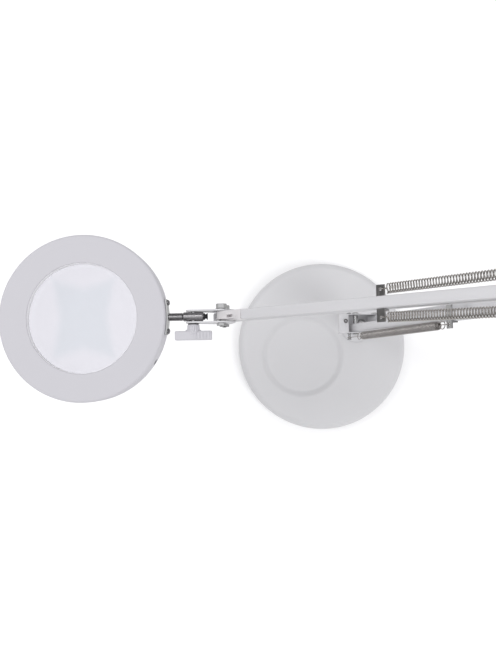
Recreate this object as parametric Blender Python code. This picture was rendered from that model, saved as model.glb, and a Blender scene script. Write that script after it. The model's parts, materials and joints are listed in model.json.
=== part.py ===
"""Table magnifying lamp: weighted base, spring-balanced arm and ring-shaped lens head.

Lengths are in millimetres in the constants and in the profile functions. finish() turns them
into Blender's metres. X is the direction in which the arm leans, Z is up, and the origin is
the centre of the base's underside. Every moving body hangs on an empty that sits on its axis.
"""
from math import cos, pi, radians, sin, sqrt, tau

import bmesh
import bpy
from mathutils import Matrix, Vector

MM = 0.001
GAP = 0.3

# Facets round large, medium and small turned pieces
LARGE_ROUND = 44
MEDIUM_ROUND = 16
SMALL_ROUND = 10

# Base and swivel post
BASE_RADIUS = 112.5
BASE_TOP = 17.0
BASE_SKIRT = 0.8
BASE_EDGE = 9.0
COVER_WALL = 2.2
TRAY_AXIS_ANGLE = radians(26.7)
TRAY_OFFSET = 29.0
TRAY_RIM = 57.0
TRAY_FLOOR = 44.5
TRAY_DEPTH = 3.5
POST_OFFSET = 52.0
SOCKET_TOP = 72.0
SOCKET_RADIUS = 11.5
PIN_RADIUS = 5.9
SOCKET_FOOT = 19.5
SPIGOT_RADIUS = 7.7
NUT_RADIUS = 13.8
WEIGHT_RADIUS = 107.0
PAD_RADIUS = 108.0

# Arm geometry: pivots, angles above the horizontal, and the two link offsets
SHOULDER_HEIGHT = 102.0
SHOULDER_BACK = 10.0
WEB_DROP = 24.0
TAB_RISE = 6.4
TAB_REACH = 19.5
TAB_SCREW = (-12.4, 3.0)
ARM_LENGTH = 410.0
LOWER_ANGLE = radians(64.5)
UPPER_ANGLE = radians(38.3)
REAR_LINK = (24.4, -8.9)
ELBOW_RISE = (-8.0, 36.0)
BOTTOM_LINK = (1.6, -18.4)

# Square arm tube
TUBE = 10.0
TUBE_WALL = 1.1
TUBE_END = 7.0
WRIST_OVERHANG = 11.0
PLUG_REACH = 30.2
BOLT_SHANK = 2.45
LOWER_SHIFT = 5.2

# Side plates and pivots
PLATE_INNER = 10.5
PLATE_THICK = 1.1
ELBOW_CORNER = 9.5
PIVOT_RADIUS = 3.4
PIVOT_NECK = 2.4
HOLE_PLAY = 0.3

# Springs and their anchors
SPRING_RADIUS = 4.75
HOOK_SIDE = 17.1
LOWER_ANCHOR_SIDE = 13.8
UPPER_ANCHOR_SIDE = 12.2
LOWER_ANCHOR = 181.6
UPPER_ANCHOR = 221.5
LOWER_HOOK = (-8.0, 2.0)
UPPER_HOOK = (8.1, -3.8)
LOWER_GAPS = (28.0, 12.0)
UPPER_GAPS = (22.0, 6.5)

# Wrist fork and tilting barrel
FORK_INNER = 5.3
FORK_THICK = 1.5
TILT_REACH = 28.8
BARREL_RADIUS = 4.75
BARREL_HALF = 10.6
CLAMP_RADIUS = 2.5

# Head
HEAD_REACH = 112.6
HEAD_RADIUS = 85.6
HEAD_OPENING = 56.4
HEAD_TOP = 10.0
HEAD_SPLIT = -2.0
HEAD_BOTTOM = -14.0
HEAD_WALL = 2.2
LENS_RADIUS = 60.0
LENS_SAG = 5.4
LENS_EDGE = 1.0
FLANGE_RADIUS = 75.5
JACK_RADIUS = 3.2
JACK_LEVEL = -6.4


# ---------------------------------------------------------------- helpers

def clear_scene():
    for item in list(bpy.data.objects):
        bpy.data.objects.remove(item)


def material(name, colour, roughness, metallic=0.0, alpha=1.0):
    made = bpy.data.materials.new(name)
    made.use_nodes = True
    shader = made.node_tree.nodes["Principled BSDF"]
    shader.inputs["Base Color"].default_value = (*colour, 1.0)
    shader.inputs["Roughness"].default_value = roughness
    shader.inputs["Metallic"].default_value = metallic
    shader.inputs["Alpha"].default_value = alpha
    made.diffuse_color = (*colour, alpha)
    return made


def frame(name, parent, place, turn=0.0):
    """An empty on a joint axis; turn is a rotation about its own Y axis."""
    empty = bpy.data.objects.new(name, None)
    bpy.context.collection.objects.link(empty)
    empty.parent = parent
    empty.location = Vector(place) * MM
    empty.rotation_euler = (0.0, turn, 0.0)
    return empty


def finish(name, bm, finish_material, parent, sharp=radians(35)):
    """Turn a bmesh in millimetres into a named, smooth-shaded object in metres."""
    bmesh.ops.scale(bm, vec=(MM, MM, MM), verts=bm.verts)
    bmesh.ops.recalc_face_normals(bm, faces=bm.faces)
    mesh = bpy.data.meshes.new(name)
    bm.to_mesh(mesh)
    bm.free()
    mesh.shade_smooth()
    mesh.set_sharp_from_angle(angle=sharp)
    mesh.materials.append(finish_material)
    made = bpy.data.objects.new(name, mesh)
    bpy.context.collection.objects.link(made)
    made.parent = parent
    return made


def boolean(target, tool_bm, operation="DIFFERENCE"):
    """Cut a bmesh out of an object, or join it on, with a hidden wire object as the tool."""
    name = f"{target.name}_tool_{len(target.modifiers)}"
    tool = finish(name, tool_bm, target.data.materials[0], target.parent)
    tool.hide_render = True
    tool.display_type = "WIRE"
    step = target.modifiers.new(name, "BOOLEAN")
    step.operation = operation
    step.solver = "EXACT"
    step.object = tool
    return tool


def turned(profile, segments, closed=True):
    """Spin a profile of (radius, height) points about Z.

    A closed profile makes a ring. An open one starts and ends on the axis.
    """
    bm = bmesh.new()
    points = [bm.verts.new((radius, 0.0, height)) for radius, height in profile]
    pairs = list(zip(points, points[1:]))
    if closed:
        pairs.append((points[-1], points[0]))
    edges = [bm.edges.new(pair) for pair in pairs]
    bmesh.ops.spin(bm, geom=points + edges, cent=(0, 0, 0), axis=(0, 0, 1), angle=tau,
                   steps=segments, use_merge=True)
    bmesh.ops.remove_doubles(bm, verts=bm.verts, dist=1e-4)
    return bm


def arc(centre, radius, start, stop, steps):
    """Points on an arc; angles in degrees, anticlockwise when stop is above start."""
    angles = [radians(start + (stop - start) * i / steps) for i in range(steps + 1)]
    return [(centre[0] + radius * cos(a), centre[1] + radius * sin(a)) for a in angles]


def circle(centre, radius, steps):
    return arc(centre, radius, 0.0, 360.0, steps)[:-1]


def hull(circles, steps=20):
    """Outline of a plate that wraps (x, z, radius) discs, as an anticlockwise loop."""
    cloud = []
    for x, z, radius in circles:
        cloud += circle((x, z), radius, steps)
    cloud.sort()
    sides = []
    for ordered in (cloud, cloud[::-1]):
        side = []
        for point in ordered:
            while len(side) > 1 and cross(side[-2], side[-1], point) <= 1e-6:
                side.pop()
            side.append(point)
        sides += side[:-1]
    return sides


def cross(origin, first, second):
    first_x, first_z = first[0] - origin[0], first[1] - origin[1]
    second_x, second_z = second[0] - origin[0], second[1] - origin[1]
    return first_x * second_z - first_z * second_x


def sheet(outline, low, high, holes=()):
    """A flat plate in the XZ plane, between two Y values, with loops of points as holes."""
    bm = bmesh.new()
    edges = []
    for loop in (outline, *holes):
        corners = [bm.verts.new((x, low, z)) for x, z in loop]
        edges += [bm.edges.new((a, b)) for a, b in zip(corners, corners[1:] + corners[:1])]
    bmesh.ops.triangle_fill(bm, use_beauty=True, use_dissolve=False, edges=edges)
    grown = bmesh.ops.extrude_face_region(bm, geom=bm.faces[:])
    moved = [item for item in grown["geom"] if isinstance(item, bmesh.types.BMVert)]
    bmesh.ops.translate(bm, vec=(0, high - low, 0), verts=moved)
    return bm


def shifted(bm, x=0.0, y=0.0, z=0.0):
    bmesh.ops.translate(bm, vec=(x, y, z), verts=bm.verts)
    return bm


def rotated(bm, angle, axis):
    bmesh.ops.rotate(bm, cent=(0, 0, 0), matrix=Matrix.Rotation(angle, 3, axis), verts=bm.verts)
    return bm


def cross_bar(profile, segments, x=0.0, z=0.0, closed=False):
    """A turned piece laid along Y: profile heights become Y positions."""
    return shifted(rotated(turned(profile, segments, closed), -pi / 2, "X"), x=x, z=z)


def rod(radius, low, high):
    return [(0.0, low), (radius, low), (radius, high), (0.0, high)]


def rounded_square(side, radius, steps=2):
    """Cross-section of a square tube in (y, z), with rounded corners."""
    inset = side / 2 - radius
    points = []
    for turn, (y, z) in enumerate(((1, 1), (-1, 1), (-1, -1), (1, -1))):
        points += arc((y * inset, z * inset), radius, 90 * turn, 90 * turn + 90, steps)
    return points


def square_tube(start, end, side, wall, holes):
    """A hollow square tube along X, with (x, radius) pivot holes drilled across it."""
    bm = bmesh.new()
    loops = []
    for section in (rounded_square(side, 1.6), rounded_square(side - 2 * wall, 0.6)):
        for x in (start, end):
            loops.append([bm.verts.new((x, y, z)) for y, z in section])
    for low, high in ((loops[0], loops[1]), (loops[2], loops[3]), (loops[0], loops[2]),
                      (loops[1], loops[3])):
        for i in range(len(low)):
            j = (i + 1) % len(low)
            bm.faces.new((low[i], low[j], high[j], high[i]))
    drills = [cross_bar(rod(radius, -2 * side, 2 * side), 16, x=x) for x, radius in holes]
    return bm, drills


def drilled(name, blank, finish_material, parent):
    bm, drills = blank
    made = finish(name, bm, finish_material, parent)
    for drill in drills:
        boolean(made, drill)
    return made


def hexagon_head(across_flats, low, high):
    """A six-sided prism along Y with chamfered outer edges, for bolt heads and nuts."""
    corner = across_flats / sqrt(3)
    middle = (low + high) / 2
    profile = [(0.0, low), (corner * 0.9, low), (corner, middle), (corner * 0.9, high), (0.0, high)]
    if abs(low) < abs(high):
        profile[1] = (corner, low)
    else:
        profile[3] = (corner, high)
    return cross_bar(profile, 6)


# ---------------------------------------------------------------- base

def tray_ramp(rim, floor, top, depth, steps=3):
    """The soft S-shaped wall of the tray, from its rim down to its floor."""
    points = []
    for i in range(steps + 1):
        share = i / steps
        drop = depth * (1 - cos(pi * share)) / 2
        points.append((rim + (floor - rim) * share, top - drop))
    return points


def base_section(radius, top, edge, bottom):
    """Open half-section of the base, from the axis at the top to the axis at the bottom."""
    shoulder = arc((radius - edge, top - edge), edge, 90, 0, 4)
    return [(0.0, top), *shoulder, (radius, bottom), (0.0, bottom)]


def build_base(root, paint, iron, foam, steel, nylon):
    tray_x = -TRAY_OFFSET * cos(TRAY_AXIS_ANGLE)
    tray_y = -TRAY_OFFSET * sin(TRAY_AXIS_ANGLE)
    post_x = POST_OFFSET * cos(TRAY_AXIS_ANGLE)
    post_y = POST_OFFSET * sin(TRAY_AXIS_ANGLE)

    cover = finish("base_cover", turned(base_section(BASE_RADIUS, BASE_TOP, BASE_EDGE, BASE_SKIRT),
                                        LARGE_ROUND, closed=False), paint, root)
    hollow_top = BASE_TOP - COVER_WALL
    hollow = boolean(cover, turned(base_section(BASE_RADIUS - COVER_WALL, hollow_top,
                                                BASE_EDGE - COVER_WALL, -1.0), LARGE_ROUND,
                                   closed=False))
    ramp = tray_ramp(TRAY_RIM, TRAY_FLOOR, BASE_TOP, TRAY_DEPTH)
    belly = [(radius + COVER_WALL, height - COVER_WALL) for radius, height in ramp]
    belly_top = [(0.0, BASE_TOP + 1), (belly[0][0], BASE_TOP + 1)]
    boolean(hollow, shifted(turned([*belly_top, *belly, (0.0, belly[-1][1])], 36, closed=False),
                            tray_x, tray_y))
    tray_lid = [(0.0, BASE_TOP + 1), (TRAY_RIM, BASE_TOP + 1)]
    boolean(cover, shifted(turned([*tray_lid, *ramp, (0.0, ramp[-1][1])], 36, closed=False),
                           tray_x, tray_y))
    boolean(cover, shifted(turned(rod(SPIGOT_RADIUS + GAP, 5.0, 30.0)[::-1], MEDIUM_ROUND,
                                  closed=False), post_x, post_y))

    weight_low, weight_high = 2.0, 11.0
    counterbore = 8.6
    nut_room = NUT_RADIUS + 2.7
    section = [(0.0, weight_high), (WEIGHT_RADIUS - 1.5, weight_high),
               (WEIGHT_RADIUS, weight_high - 1.5), (WEIGHT_RADIUS, weight_low), (0.0, weight_low)]
    weight = finish("base_weight", turned(section, LARGE_ROUND, closed=False), iron, root)
    bore = SPIGOT_RADIUS + GAP
    boolean(weight, shifted(turned([(0.0, 20.0), (bore, 20.0), (bore, counterbore),
                                    (nut_room, counterbore), (nut_room, 0.0), (0.0, 0.0)],
                                   MEDIUM_ROUND, closed=False), post_x, post_y))

    pad_top = weight_low - GAP
    pad = [(0.0, pad_top), (PAD_RADIUS - 0.5, pad_top), (PAD_RADIUS, pad_top - 0.5),
           (PAD_RADIUS, 0.0), (0.0, 0.0)]
    finish("base_pad", turned(pad, LARGE_ROUND, closed=False), foam, root)

    bush_bore = PIN_RADIUS + 1.4
    wire_bore = bush_bore - 1.2
    flange = BASE_TOP + GAP
    socket_low = 3.4
    socket = [(bush_bore, SOCKET_TOP), (SOCKET_RADIUS - 1.5, SOCKET_TOP),
              (SOCKET_RADIUS, SOCKET_TOP - 1.5), (SOCKET_RADIUS, flange + 8),
              (SOCKET_RADIUS + 1.5, flange + 4.5), (SOCKET_FOOT - 0.5, flange + 2.8),
              (SOCKET_FOOT, flange + 1.8), (SOCKET_FOOT, flange), (SPIGOT_RADIUS, flange),
              (SPIGOT_RADIUS, socket_low), (wire_bore, socket_low), (wire_bore, flange + 3),
              (bush_bore, flange + 3)]
    finish("post_socket", shifted(turned(socket, MEDIUM_ROUND), post_x, post_y), paint, root)

    nut_low, nut_high = socket_low + 0.2, counterbore - GAP
    nut = [(0.0, nut_high), (NUT_RADIUS, nut_high), (NUT_RADIUS, nut_low + 1),
           (NUT_RADIUS - 1.2, nut_low), (0.0, nut_low)]
    hexagon = finish("socket_nut", shifted(turned(nut, 6, closed=False), post_x, post_y), steel,
                     root)
    boolean(hexagon, shifted(turned(rod(bore, 0.0, 20.0)[::-1], MEDIUM_ROUND, closed=False),
                             post_x, post_y))

    bush_low = flange + 8
    bush = [(PIN_RADIUS + GAP, SOCKET_TOP + 2.0), (SOCKET_RADIUS - 0.5, SOCKET_TOP + 2.0),
            (SOCKET_RADIUS, SOCKET_TOP + 1.5), (SOCKET_RADIUS, SOCKET_TOP + GAP),
            (bush_bore - GAP, SOCKET_TOP + GAP), (bush_bore - GAP, bush_low),
            (PIN_RADIUS + GAP, bush_low)]
    finish("swivel_bush", shifted(turned(bush, MEDIUM_ROUND), post_x, post_y), nylon, root)
    return post_x, post_y


# ---------------------------------------------------------------- pivots and springs

def pivot_rivet(name, parent, x, z, steel, half=PLATE_INNER + PLATE_THICK):
    """A shouldered rivet: thick between the plates, necked through them, headed outside."""
    inner = PLATE_INNER - GAP
    head = half + GAP
    right = [(PIVOT_RADIUS, inner), (PIVOT_NECK, inner), (PIVOT_NECK, head), (4.6, head),
             (4.3, head + 1.0), (3.0, head + 1.8), (0.0, head + 2.0)]
    left = [(radius, -height) for radius, height in right[::-1]]
    return finish(name, cross_bar(left + right, SMALL_ROUND, x=x, z=z), steel, parent)


def hook_post(name, parent, x, z, side, steel):
    """The headed post outside a side plate, from which a spring's hook hangs."""
    inner = PLATE_INNER + 0.1
    face = PLATE_INNER + PLATE_THICK + GAP
    tip = HOOK_SIDE + 2.2
    profile = [(0.0, inner), (1.8, inner), (1.8, face), (2.8, face), (2.8, face + 0.9),
               (1.6, face + 1.2), (1.6, tip - 0.9), (2.6, tip - 0.6), (2.6, tip + 0.4),
               (0.0, tip + 0.9)]
    bm = cross_bar(profile, SMALL_ROUND)
    if side < 0:
        bmesh.ops.rotate(bm, cent=(0, 0, 0), matrix=Matrix.Rotation(pi, 3, "X"), verts=bm.verts)
    return finish(name, shifted(bm, x=x, z=z), steel, parent)


def spring(name, parent, start, end, steel):
    """The envelope of a tension spring between two points, with short tapered ends."""
    start, end = Vector(start), Vector(end)
    length = (end - start).length
    taper = 3.0
    profile = [(0.0, 0.0), (1.4, 0.0), (SPRING_RADIUS, taper), (SPRING_RADIUS, length - taper),
               (1.4, length), (0.0, length)]
    bm = turned(profile, SMALL_ROUND, closed=False)
    turn = Vector((0, 0, 1)).rotation_difference(end - start).to_matrix()
    bmesh.ops.rotate(bm, cent=(0, 0, 0), matrix=turn, verts=bm.verts)
    return finish(name, shifted(bm, *start), steel, parent)


def spring_anchor(name, parent, x, y, hole_side, steel):
    """A strap across the arm's face with two ears down its sides and a hole at each tip."""
    long_half, wide_half, thick = 4.0, hole_side + 4.0, 1.5
    low = TUBE / 2 + GAP
    ear = TUBE / 2 + GAP
    section = [(-wide_half - y, low), (-ear - thick, low), (-ear - thick, -1.0), (-ear, -1.0),
               (-ear, low), (ear, low), (ear, -1.0), (ear + thick, -1.0), (ear + thick, low),
               (wide_half - y, low), (wide_half - y, low + thick), (-wide_half - y, low + thick)]
    bm = bmesh.new()
    loop = [bm.verts.new((-long_half, side, height)) for side, height in section]
    bmesh.ops.triangle_fill(bm, use_beauty=True, use_dissolve=False,
                            edges=[bm.edges.new((a, b)) for a, b in zip(loop, loop[1:] + loop[:1])])
    grown = bmesh.ops.extrude_face_region(bm, geom=bm.faces[:])
    moved = [item for item in grown["geom"] if isinstance(item, bmesh.types.BMVert)]
    bmesh.ops.translate(bm, vec=(2 * long_half, 0, 0), verts=moved)
    strap = finish(name, shifted(bm, x=x, y=y), steel, parent)
    for side in (-1, 1):
        drill = turned(rod(1.5, -2.0, 12.0)[::-1], 8, closed=False)
        boolean(strap, shifted(drill, x=x, y=side * hole_side))
    return strap


# ---------------------------------------------------------------- swivelling shoulder

def shoulder_outline():
    corner = arc(REAR_LINK, 10.0, -20, 75, 6)
    crown = arc((0.0, 0.0), 10.5, 60, 118, 4)
    return [(-4.0, -WEB_DROP), (24.0, -WEB_DROP), *corner, *crown, (-9.0, TAB_RISE),
            (-TAB_REACH, TAB_RISE), (-TAB_REACH, -16.0)]


def build_shoulder(swivel, paint, steel, dark):
    pivot = (-SHOULDER_BACK, SHOULDER_HEIGHT)
    half = PLATE_INNER + PLATE_THICK
    web = SHOULDER_HEIGHT - WEB_DROP

    block = shifted(sheet(shoulder_outline(), -half, half), x=pivot[0], z=pivot[1])
    bracket = finish("shoulder_bracket", block, paint, swivel)
    far = 60.0
    back, floor, roof = PLATE_THICK - TAB_REACH, 1.6 - WEB_DROP, TAB_RISE - PLATE_THICK
    pocket = [(back, floor), (far, floor), (far, far), (-9.0, far), (-9.0, roof), (back, roof)]
    boolean(bracket, shifted(sheet(pocket, -PLATE_INNER, PLATE_INNER), x=pivot[0], z=pivot[1]))
    for x, z, radius in ((0.0, 0.0, PIVOT_NECK), (*REAR_LINK, PIVOT_NECK), (*LOWER_HOOK, 1.8)):
        boolean(bracket, cross_bar(rod(radius + HOLE_PLAY, -20, 20), SMALL_ROUND, pivot[0] + x,
                                   pivot[1] + z))
    boolean(bracket, turned(rod(4.2 + HOLE_PLAY, web - 5, web + 8)[::-1], SMALL_ROUND,
                            closed=False))
    screw_x, screw_y = pivot[0] + TAB_SCREW[0], TAB_SCREW[1]
    tab = SHOULDER_HEIGHT + TAB_RISE
    boolean(bracket, shifted(turned(rod(1.5 + HOLE_PLAY, tab - 5, tab + 5)[::-1], 10,
                                    closed=False), x=screw_x, y=screw_y))

    pin_top = web + 1.6 + GAP
    pin = [(0.0, pin_top + 1.8), (5.5, pin_top + 1.6), (7.0, pin_top), (4.2, pin_top),
           (4.2, web - GAP), (9.5, web - GAP), (9.5, web - 2.2), (PIN_RADIUS, web - 2.2),
           (PIN_RADIUS, BASE_TOP + 6), (PIN_RADIUS - 1.5, BASE_TOP + 4.5), (0.0, BASE_TOP + 4.5)]
    finish("shoulder_pin", turned(pin, MEDIUM_ROUND, closed=False), steel, swivel)

    head = tab + GAP
    screw = [(0.0, head + 1.5), (1.9, head + 1.2), (2.6, head + 0.4), (2.6, head), (1.5, head),
             (1.5, head - 4.5), (0.0, head - 4.5)]
    finish("bracket_screw", shifted(turned(screw, SMALL_ROUND, closed=False), x=screw_x,
                                    y=screw_y), dark, swivel)
    pivot_rivet("shoulder_pivot_front", swivel, *pivot, steel)
    pivot_rivet("shoulder_pivot_rear", swivel, pivot[0] + REAR_LINK[0], pivot[1] + REAR_LINK[1],
                steel)
    for side, word in ((-1, "near"), (1, "far")):
        hook_post(f"shoulder_hook_{word}", swivel, pivot[0] + LOWER_HOOK[0],
                  pivot[1] + LOWER_HOOK[1], side, steel)
    return pivot


# ---------------------------------------------------------------- arms and elbow

def build_lower_arm(front, rear, paint, steel, spring_steel):
    holes = ((0.0, PIVOT_RADIUS + HOLE_PLAY), (ARM_LENGTH, PIVOT_RADIUS + HOLE_PLAY))
    for name, parent, shift in (("lower_arm_front", front, -LOWER_SHIFT),
                                ("lower_arm_rear", rear, LOWER_SHIFT)):
        bm, drills = square_tube(-TUBE_END, ARM_LENGTH + TUBE_END, TUBE, TUBE_WALL, holes)
        drilled(name, (shifted(bm, y=shift), drills), paint, parent)
    spring_anchor("lower_spring_anchor", front, LOWER_ANCHOR, -LOWER_SHIFT, LOWER_ANCHOR_SIDE,
                  steel)
    hook = turn_into_arm(LOWER_HOOK, LOWER_ANGLE)
    tip = (LOWER_ANCHOR, TUBE / 2 + 3.6)
    for side, word in ((-1, "near"), (1, "far")):
        ends = spring_ends(hook, tip, LOWER_ANCHOR_SIDE, side, *LOWER_GAPS)
        spring(f"lower_spring_{word}", front, *ends, spring_steel)


def spring_ends(hook, tip, anchor_side, side, from_hook, from_tip):
    """Both ends of a spring's coil on the straight line from its hook to its anchor hole."""
    first = Vector((hook[0], side * HOOK_SIDE, hook[1]))
    last = Vector((tip[0], side * anchor_side, tip[1]))
    along = (last - first).normalized()
    return first + along * from_hook, last - along * from_tip


def turn_into_arm(offset, angle):
    """An (x, z) offset in the upright frame, seen along and across an arm at that angle."""
    x, z = offset
    return (x * cos(angle) + z * sin(angle), z * cos(angle) - x * sin(angle))


def build_elbow(elbow, paint, steel, nylon):
    top = ELBOW_RISE
    bottom = (ELBOW_RISE[0] + BOTTOM_LINK[0], ELBOW_RISE[1] + BOTTOM_LINK[1])
    pivots = ((0.0, 0.0), REAR_LINK, top, bottom)
    hook = (top[0] + UPPER_HOOK[0], top[1] + UPPER_HOOK[1])
    outline = hull([(x, z, ELBOW_CORNER) for x, z in (pivots[0], pivots[1], pivots[2])])
    holes = [circle(place, PIVOT_NECK + HOLE_PLAY, SMALL_ROUND) for place in pivots]
    holes.append(circle(hook, 1.8 + HOLE_PLAY, 10))
    inner, outer = PLATE_INNER, PLATE_INNER + PLATE_THICK
    finish("elbow_plate_near", sheet(outline, -outer, -inner, holes), paint, elbow)
    finish("elbow_plate_far", sheet(outline, inner, outer, holes), paint, elbow)
    names = ("elbow_pivot_front", "elbow_pivot_rear", "elbow_pivot_top", "elbow_pivot_bottom")
    for name, (x, z) in zip(names, pivots):
        pivot_rivet(name, elbow, x, z, steel)
    for side, word in ((-1, "near"), (1, "far")):
        hook_post(f"elbow_hook_{word}", elbow, *hook, side, steel)
        for level, (x, z) in (("top", top), ("bottom", bottom)):
            low, high = TUBE / 2 + GAP, PLATE_INNER - GAP
            ring = [(PIVOT_RADIUS + HOLE_PLAY, low), (5.2, low), (5.2, high),
                    (PIVOT_RADIUS + HOLE_PLAY, high)]
            bm = cross_bar([(radius, side * height) for radius, height in ring], SMALL_ROUND, x,
                           z, True)
            finish(f"{level}_spacer_{word}", bm, nylon, elbow)


def build_upper_arm(top, bottom, paint, steel, spring_steel):
    pivot_hole = PIVOT_RADIUS + HOLE_PLAY
    tube_stop = PLUG_REACH - ARM_LENGTH
    blank = square_tube(tube_stop, TUBE_END, TUBE, TUBE_WALL, ((0.0, pivot_hole),))
    drilled("upper_arm_top", blank, paint, top)
    holes = ((0.0, pivot_hole), (-ARM_LENGTH, BOLT_SHANK + HOLE_PLAY))
    blank = square_tube(-ARM_LENGTH - WRIST_OVERHANG, TUBE_END, TUBE, TUBE_WALL, holes)
    drilled("upper_arm_bottom", blank, paint, bottom)
    build_end_plug(top, tube_stop, paint)

    spring_anchor("upper_spring_anchor", bottom, -UPPER_ANCHOR, 0.0, UPPER_ANCHOR_SIDE, steel)
    upright = (UPPER_HOOK[0] - BOTTOM_LINK[0], UPPER_HOOK[1] - BOTTOM_LINK[1])
    hook = turn_into_arm(upright, UPPER_ANGLE)
    tip = (-UPPER_ANCHOR, TUBE / 2 + 1.0)
    for side, word in ((-1, "near"), (1, "far")):
        ends = spring_ends(hook, tip, UPPER_ANCHOR_SIDE, side, *UPPER_GAPS)
        spring(f"upper_spring_{word}", bottom, *ends, spring_steel)


def build_end_plug(top, tube_stop, paint):
    """The plug in the wrist end of the top tube: shank, square collar and drilled tongue."""
    collar_start = tube_stop - GAP
    collar_end = collar_start - 9.8
    tip = -ARM_LENGTH
    inside = TUBE / 2 - TUBE_WALL - GAP
    half = TUBE / 2
    tongue = 4.8
    nose = arc((tip, 0.0), tongue, 90, 270, 8)
    outline = [(collar_start + 16, inside), (collar_start, inside), (collar_start, half),
               (collar_end, half), (collar_end, tongue), *nose, (collar_end, -tongue),
               (collar_end, -half), (collar_start, -half), (collar_start, -inside),
               (collar_start + 16, -inside)]
    plug = finish("arm_end_plug", sheet(outline, -half, half), paint, top)
    for side in (-1, 1):
        trim = [(collar_start, -20.0), (collar_start + 30, -20.0), (collar_start + 30, 20.0),
                (collar_start, 20.0)]
        low, high = sorted((side * inside, side * 20.0))
        boolean(plug, sheet(trim, low, high))
    boolean(plug, cross_bar(rod(BOLT_SHANK + HOLE_PLAY, -20, 20), SMALL_ROUND, x=tip))
    slot_start, slot_end, slot_floor = tip + 11.0, tip + 19.2, -1.0
    slot = [(slot_start, slot_floor), (slot_end, slot_floor), (slot_end, 9.0), (slot_start, 9.0)]
    boolean(plug, sheet(slot, -2.4, 0.6))


# ---------------------------------------------------------------- wrist and head joint

def hex_bolt(name, parent, x, z, head_flats, shank, steel):
    """A flange bolt along Y: head on the far side, shank through to the near side."""
    face = FORK_INNER + FORK_THICK + GAP
    end = -(face + 3.4)
    flange = 0.6 * head_flats + 0.3
    profile = [(0.0, end), (shank - 0.5, end), (shank, end + 0.6), (shank, face), (flange, face),
               (flange, face + 0.9), (shank, face + 1.1), (0.0, face + 1.1)]
    bolt = finish(name, cross_bar(profile, SMALL_ROUND, x, z), steel, parent)
    boolean(bolt, shifted(hexagon_head(head_flats, face + 0.5, face + 5.6), x=x, z=z), "UNION")
    return bolt


def hex_nut(name, parent, x, z, flats, shank, steel):
    face = FORK_INNER + FORK_THICK + GAP
    bm = shifted(hexagon_head(flats, -face, -face - 2.7), x=x, z=z)
    nut = finish(name, bm, steel, parent)
    boolean(nut, cross_bar(rod(shank + GAP, -face - 9, -face + 3), SMALL_ROUND, x, z))
    return nut


def build_fork(wrist, paint, steel):
    outline = hull([(-TILT_REACH, 0.0, 7.6), (0.0, 0.0, 8.6), (8.5, -3.0, 5.5),
                    (*BOTTOM_LINK, 7.6)])
    shank = BOLT_SHANK
    holes = [circle((0.0, 0.0), shank + HOLE_PLAY, SMALL_ROUND),
             circle(BOTTOM_LINK, shank + HOLE_PLAY, SMALL_ROUND),
             circle((-TILT_REACH, 0.0), CLAMP_RADIUS + HOLE_PLAY, SMALL_ROUND)]
    inner, outer = FORK_INNER, FORK_INNER + FORK_THICK
    finish("fork_plate_near", sheet(outline, -outer, -inner, holes), paint, wrist)
    finish("fork_plate_far", sheet(outline, inner, outer, holes), paint, wrist)
    for word, (x, z) in (("upper", (0.0, 0.0)), ("lower", BOTTOM_LINK)):
        hex_bolt(f"fork_bolt_{word}", wrist, x, z, 9.6, shank, steel)
        hex_nut(f"fork_nut_{word}", wrist, x, z, 8.6, shank, steel)


def build_clamp(wrist, knob, white, steel, dark):
    """The stud that closes the fork on the barrel, and the wing knob that turns on it."""
    outer = FORK_INNER + FORK_THICK
    stud = [(0.0, -outer - 13.0), (CLAMP_RADIUS - 0.5, -outer - 13.0),
            (CLAMP_RADIUS, -outer - 12.3), (CLAMP_RADIUS, outer - 0.1), (0.0, outer - 0.1)]
    finish("clamp_stud", cross_bar(stud, SMALL_ROUND, x=-TILT_REACH), steel, wrist)

    face = -outer - GAP
    washer = [(CLAMP_RADIUS + GAP, face), (5.6, face), (5.6, face - 0.8),
              (CLAMP_RADIUS + GAP, face - 0.8)]
    finish("clamp_washer", cross_bar(washer, SMALL_ROUND, closed=True), dark, knob)

    hub_face = face - 0.8 - GAP
    hub_end, wing_end = -14.6, -24.0
    hub = [(0.0, hub_face), (5.6, hub_face), (6.3, hub_face - 0.8), (6.3, hub_end + 1.5),
           (5.0, hub_end - 4.0), (0.0, hub_end - 4.0)]
    piece = finish("clamp_knob", cross_bar(hub, MEDIUM_ROUND), white, knob)
    length, thick, corner = 18.8, 4.0, 3.0
    wing = []
    for turn, (x, z) in enumerate(((1, 1), (-1, 1), (-1, -1), (1, -1))):
        wing += arc((x * (length - corner), z * (thick - corner)), corner, 90 * turn,
                    90 * turn + 90, 3)
    boolean(piece, sheet(wing, wing_end, hub_end), "UNION")
    boolean(piece, cross_bar(rod(CLAMP_RADIUS + GAP, -outer - 14.0, 0.0), SMALL_ROUND))


def build_barrel(tilt, steel):
    """The barrel that tilts in the fork: the head's stem turns in one end of it."""
    bevel = 1.0
    half = BARREL_HALF
    section = [(0.0, -half), (BARREL_RADIUS - bevel, -half), (BARREL_RADIUS, -half + bevel),
               (BARREL_RADIUS, half - bevel), (BARREL_RADIUS - bevel, half), (0.0, half)]
    barrel = finish("tilt_barrel", rotated(turned(section, MEDIUM_ROUND, closed=False),
                                            pi / 2, "Y"), steel, tilt)
    boolean(barrel, cross_bar(rod(CLAMP_RADIUS + GAP, -20, 20), SMALL_ROUND))
    bore = turned(rod(2.4 + GAP, -30, 30), SMALL_ROUND, closed=False)
    boolean(barrel, rotated(bore, pi / 2, "Y"))
    face = half + GAP
    rivet = [(0.0, 3.9), (2.4, 3.9), (2.4, face), (3.6, face), (3.6, face + 0.6),
             (2.0, face + 1.9), (3.5, face + 3.3), (3.5, face + 3.8), (0.0, face + 3.8)]
    finish("barrel_rivet", rotated(turned(rivet, SMALL_ROUND, closed=False), pi / 2, "Y"), steel,
           tilt)


# ---------------------------------------------------------------- head

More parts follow.
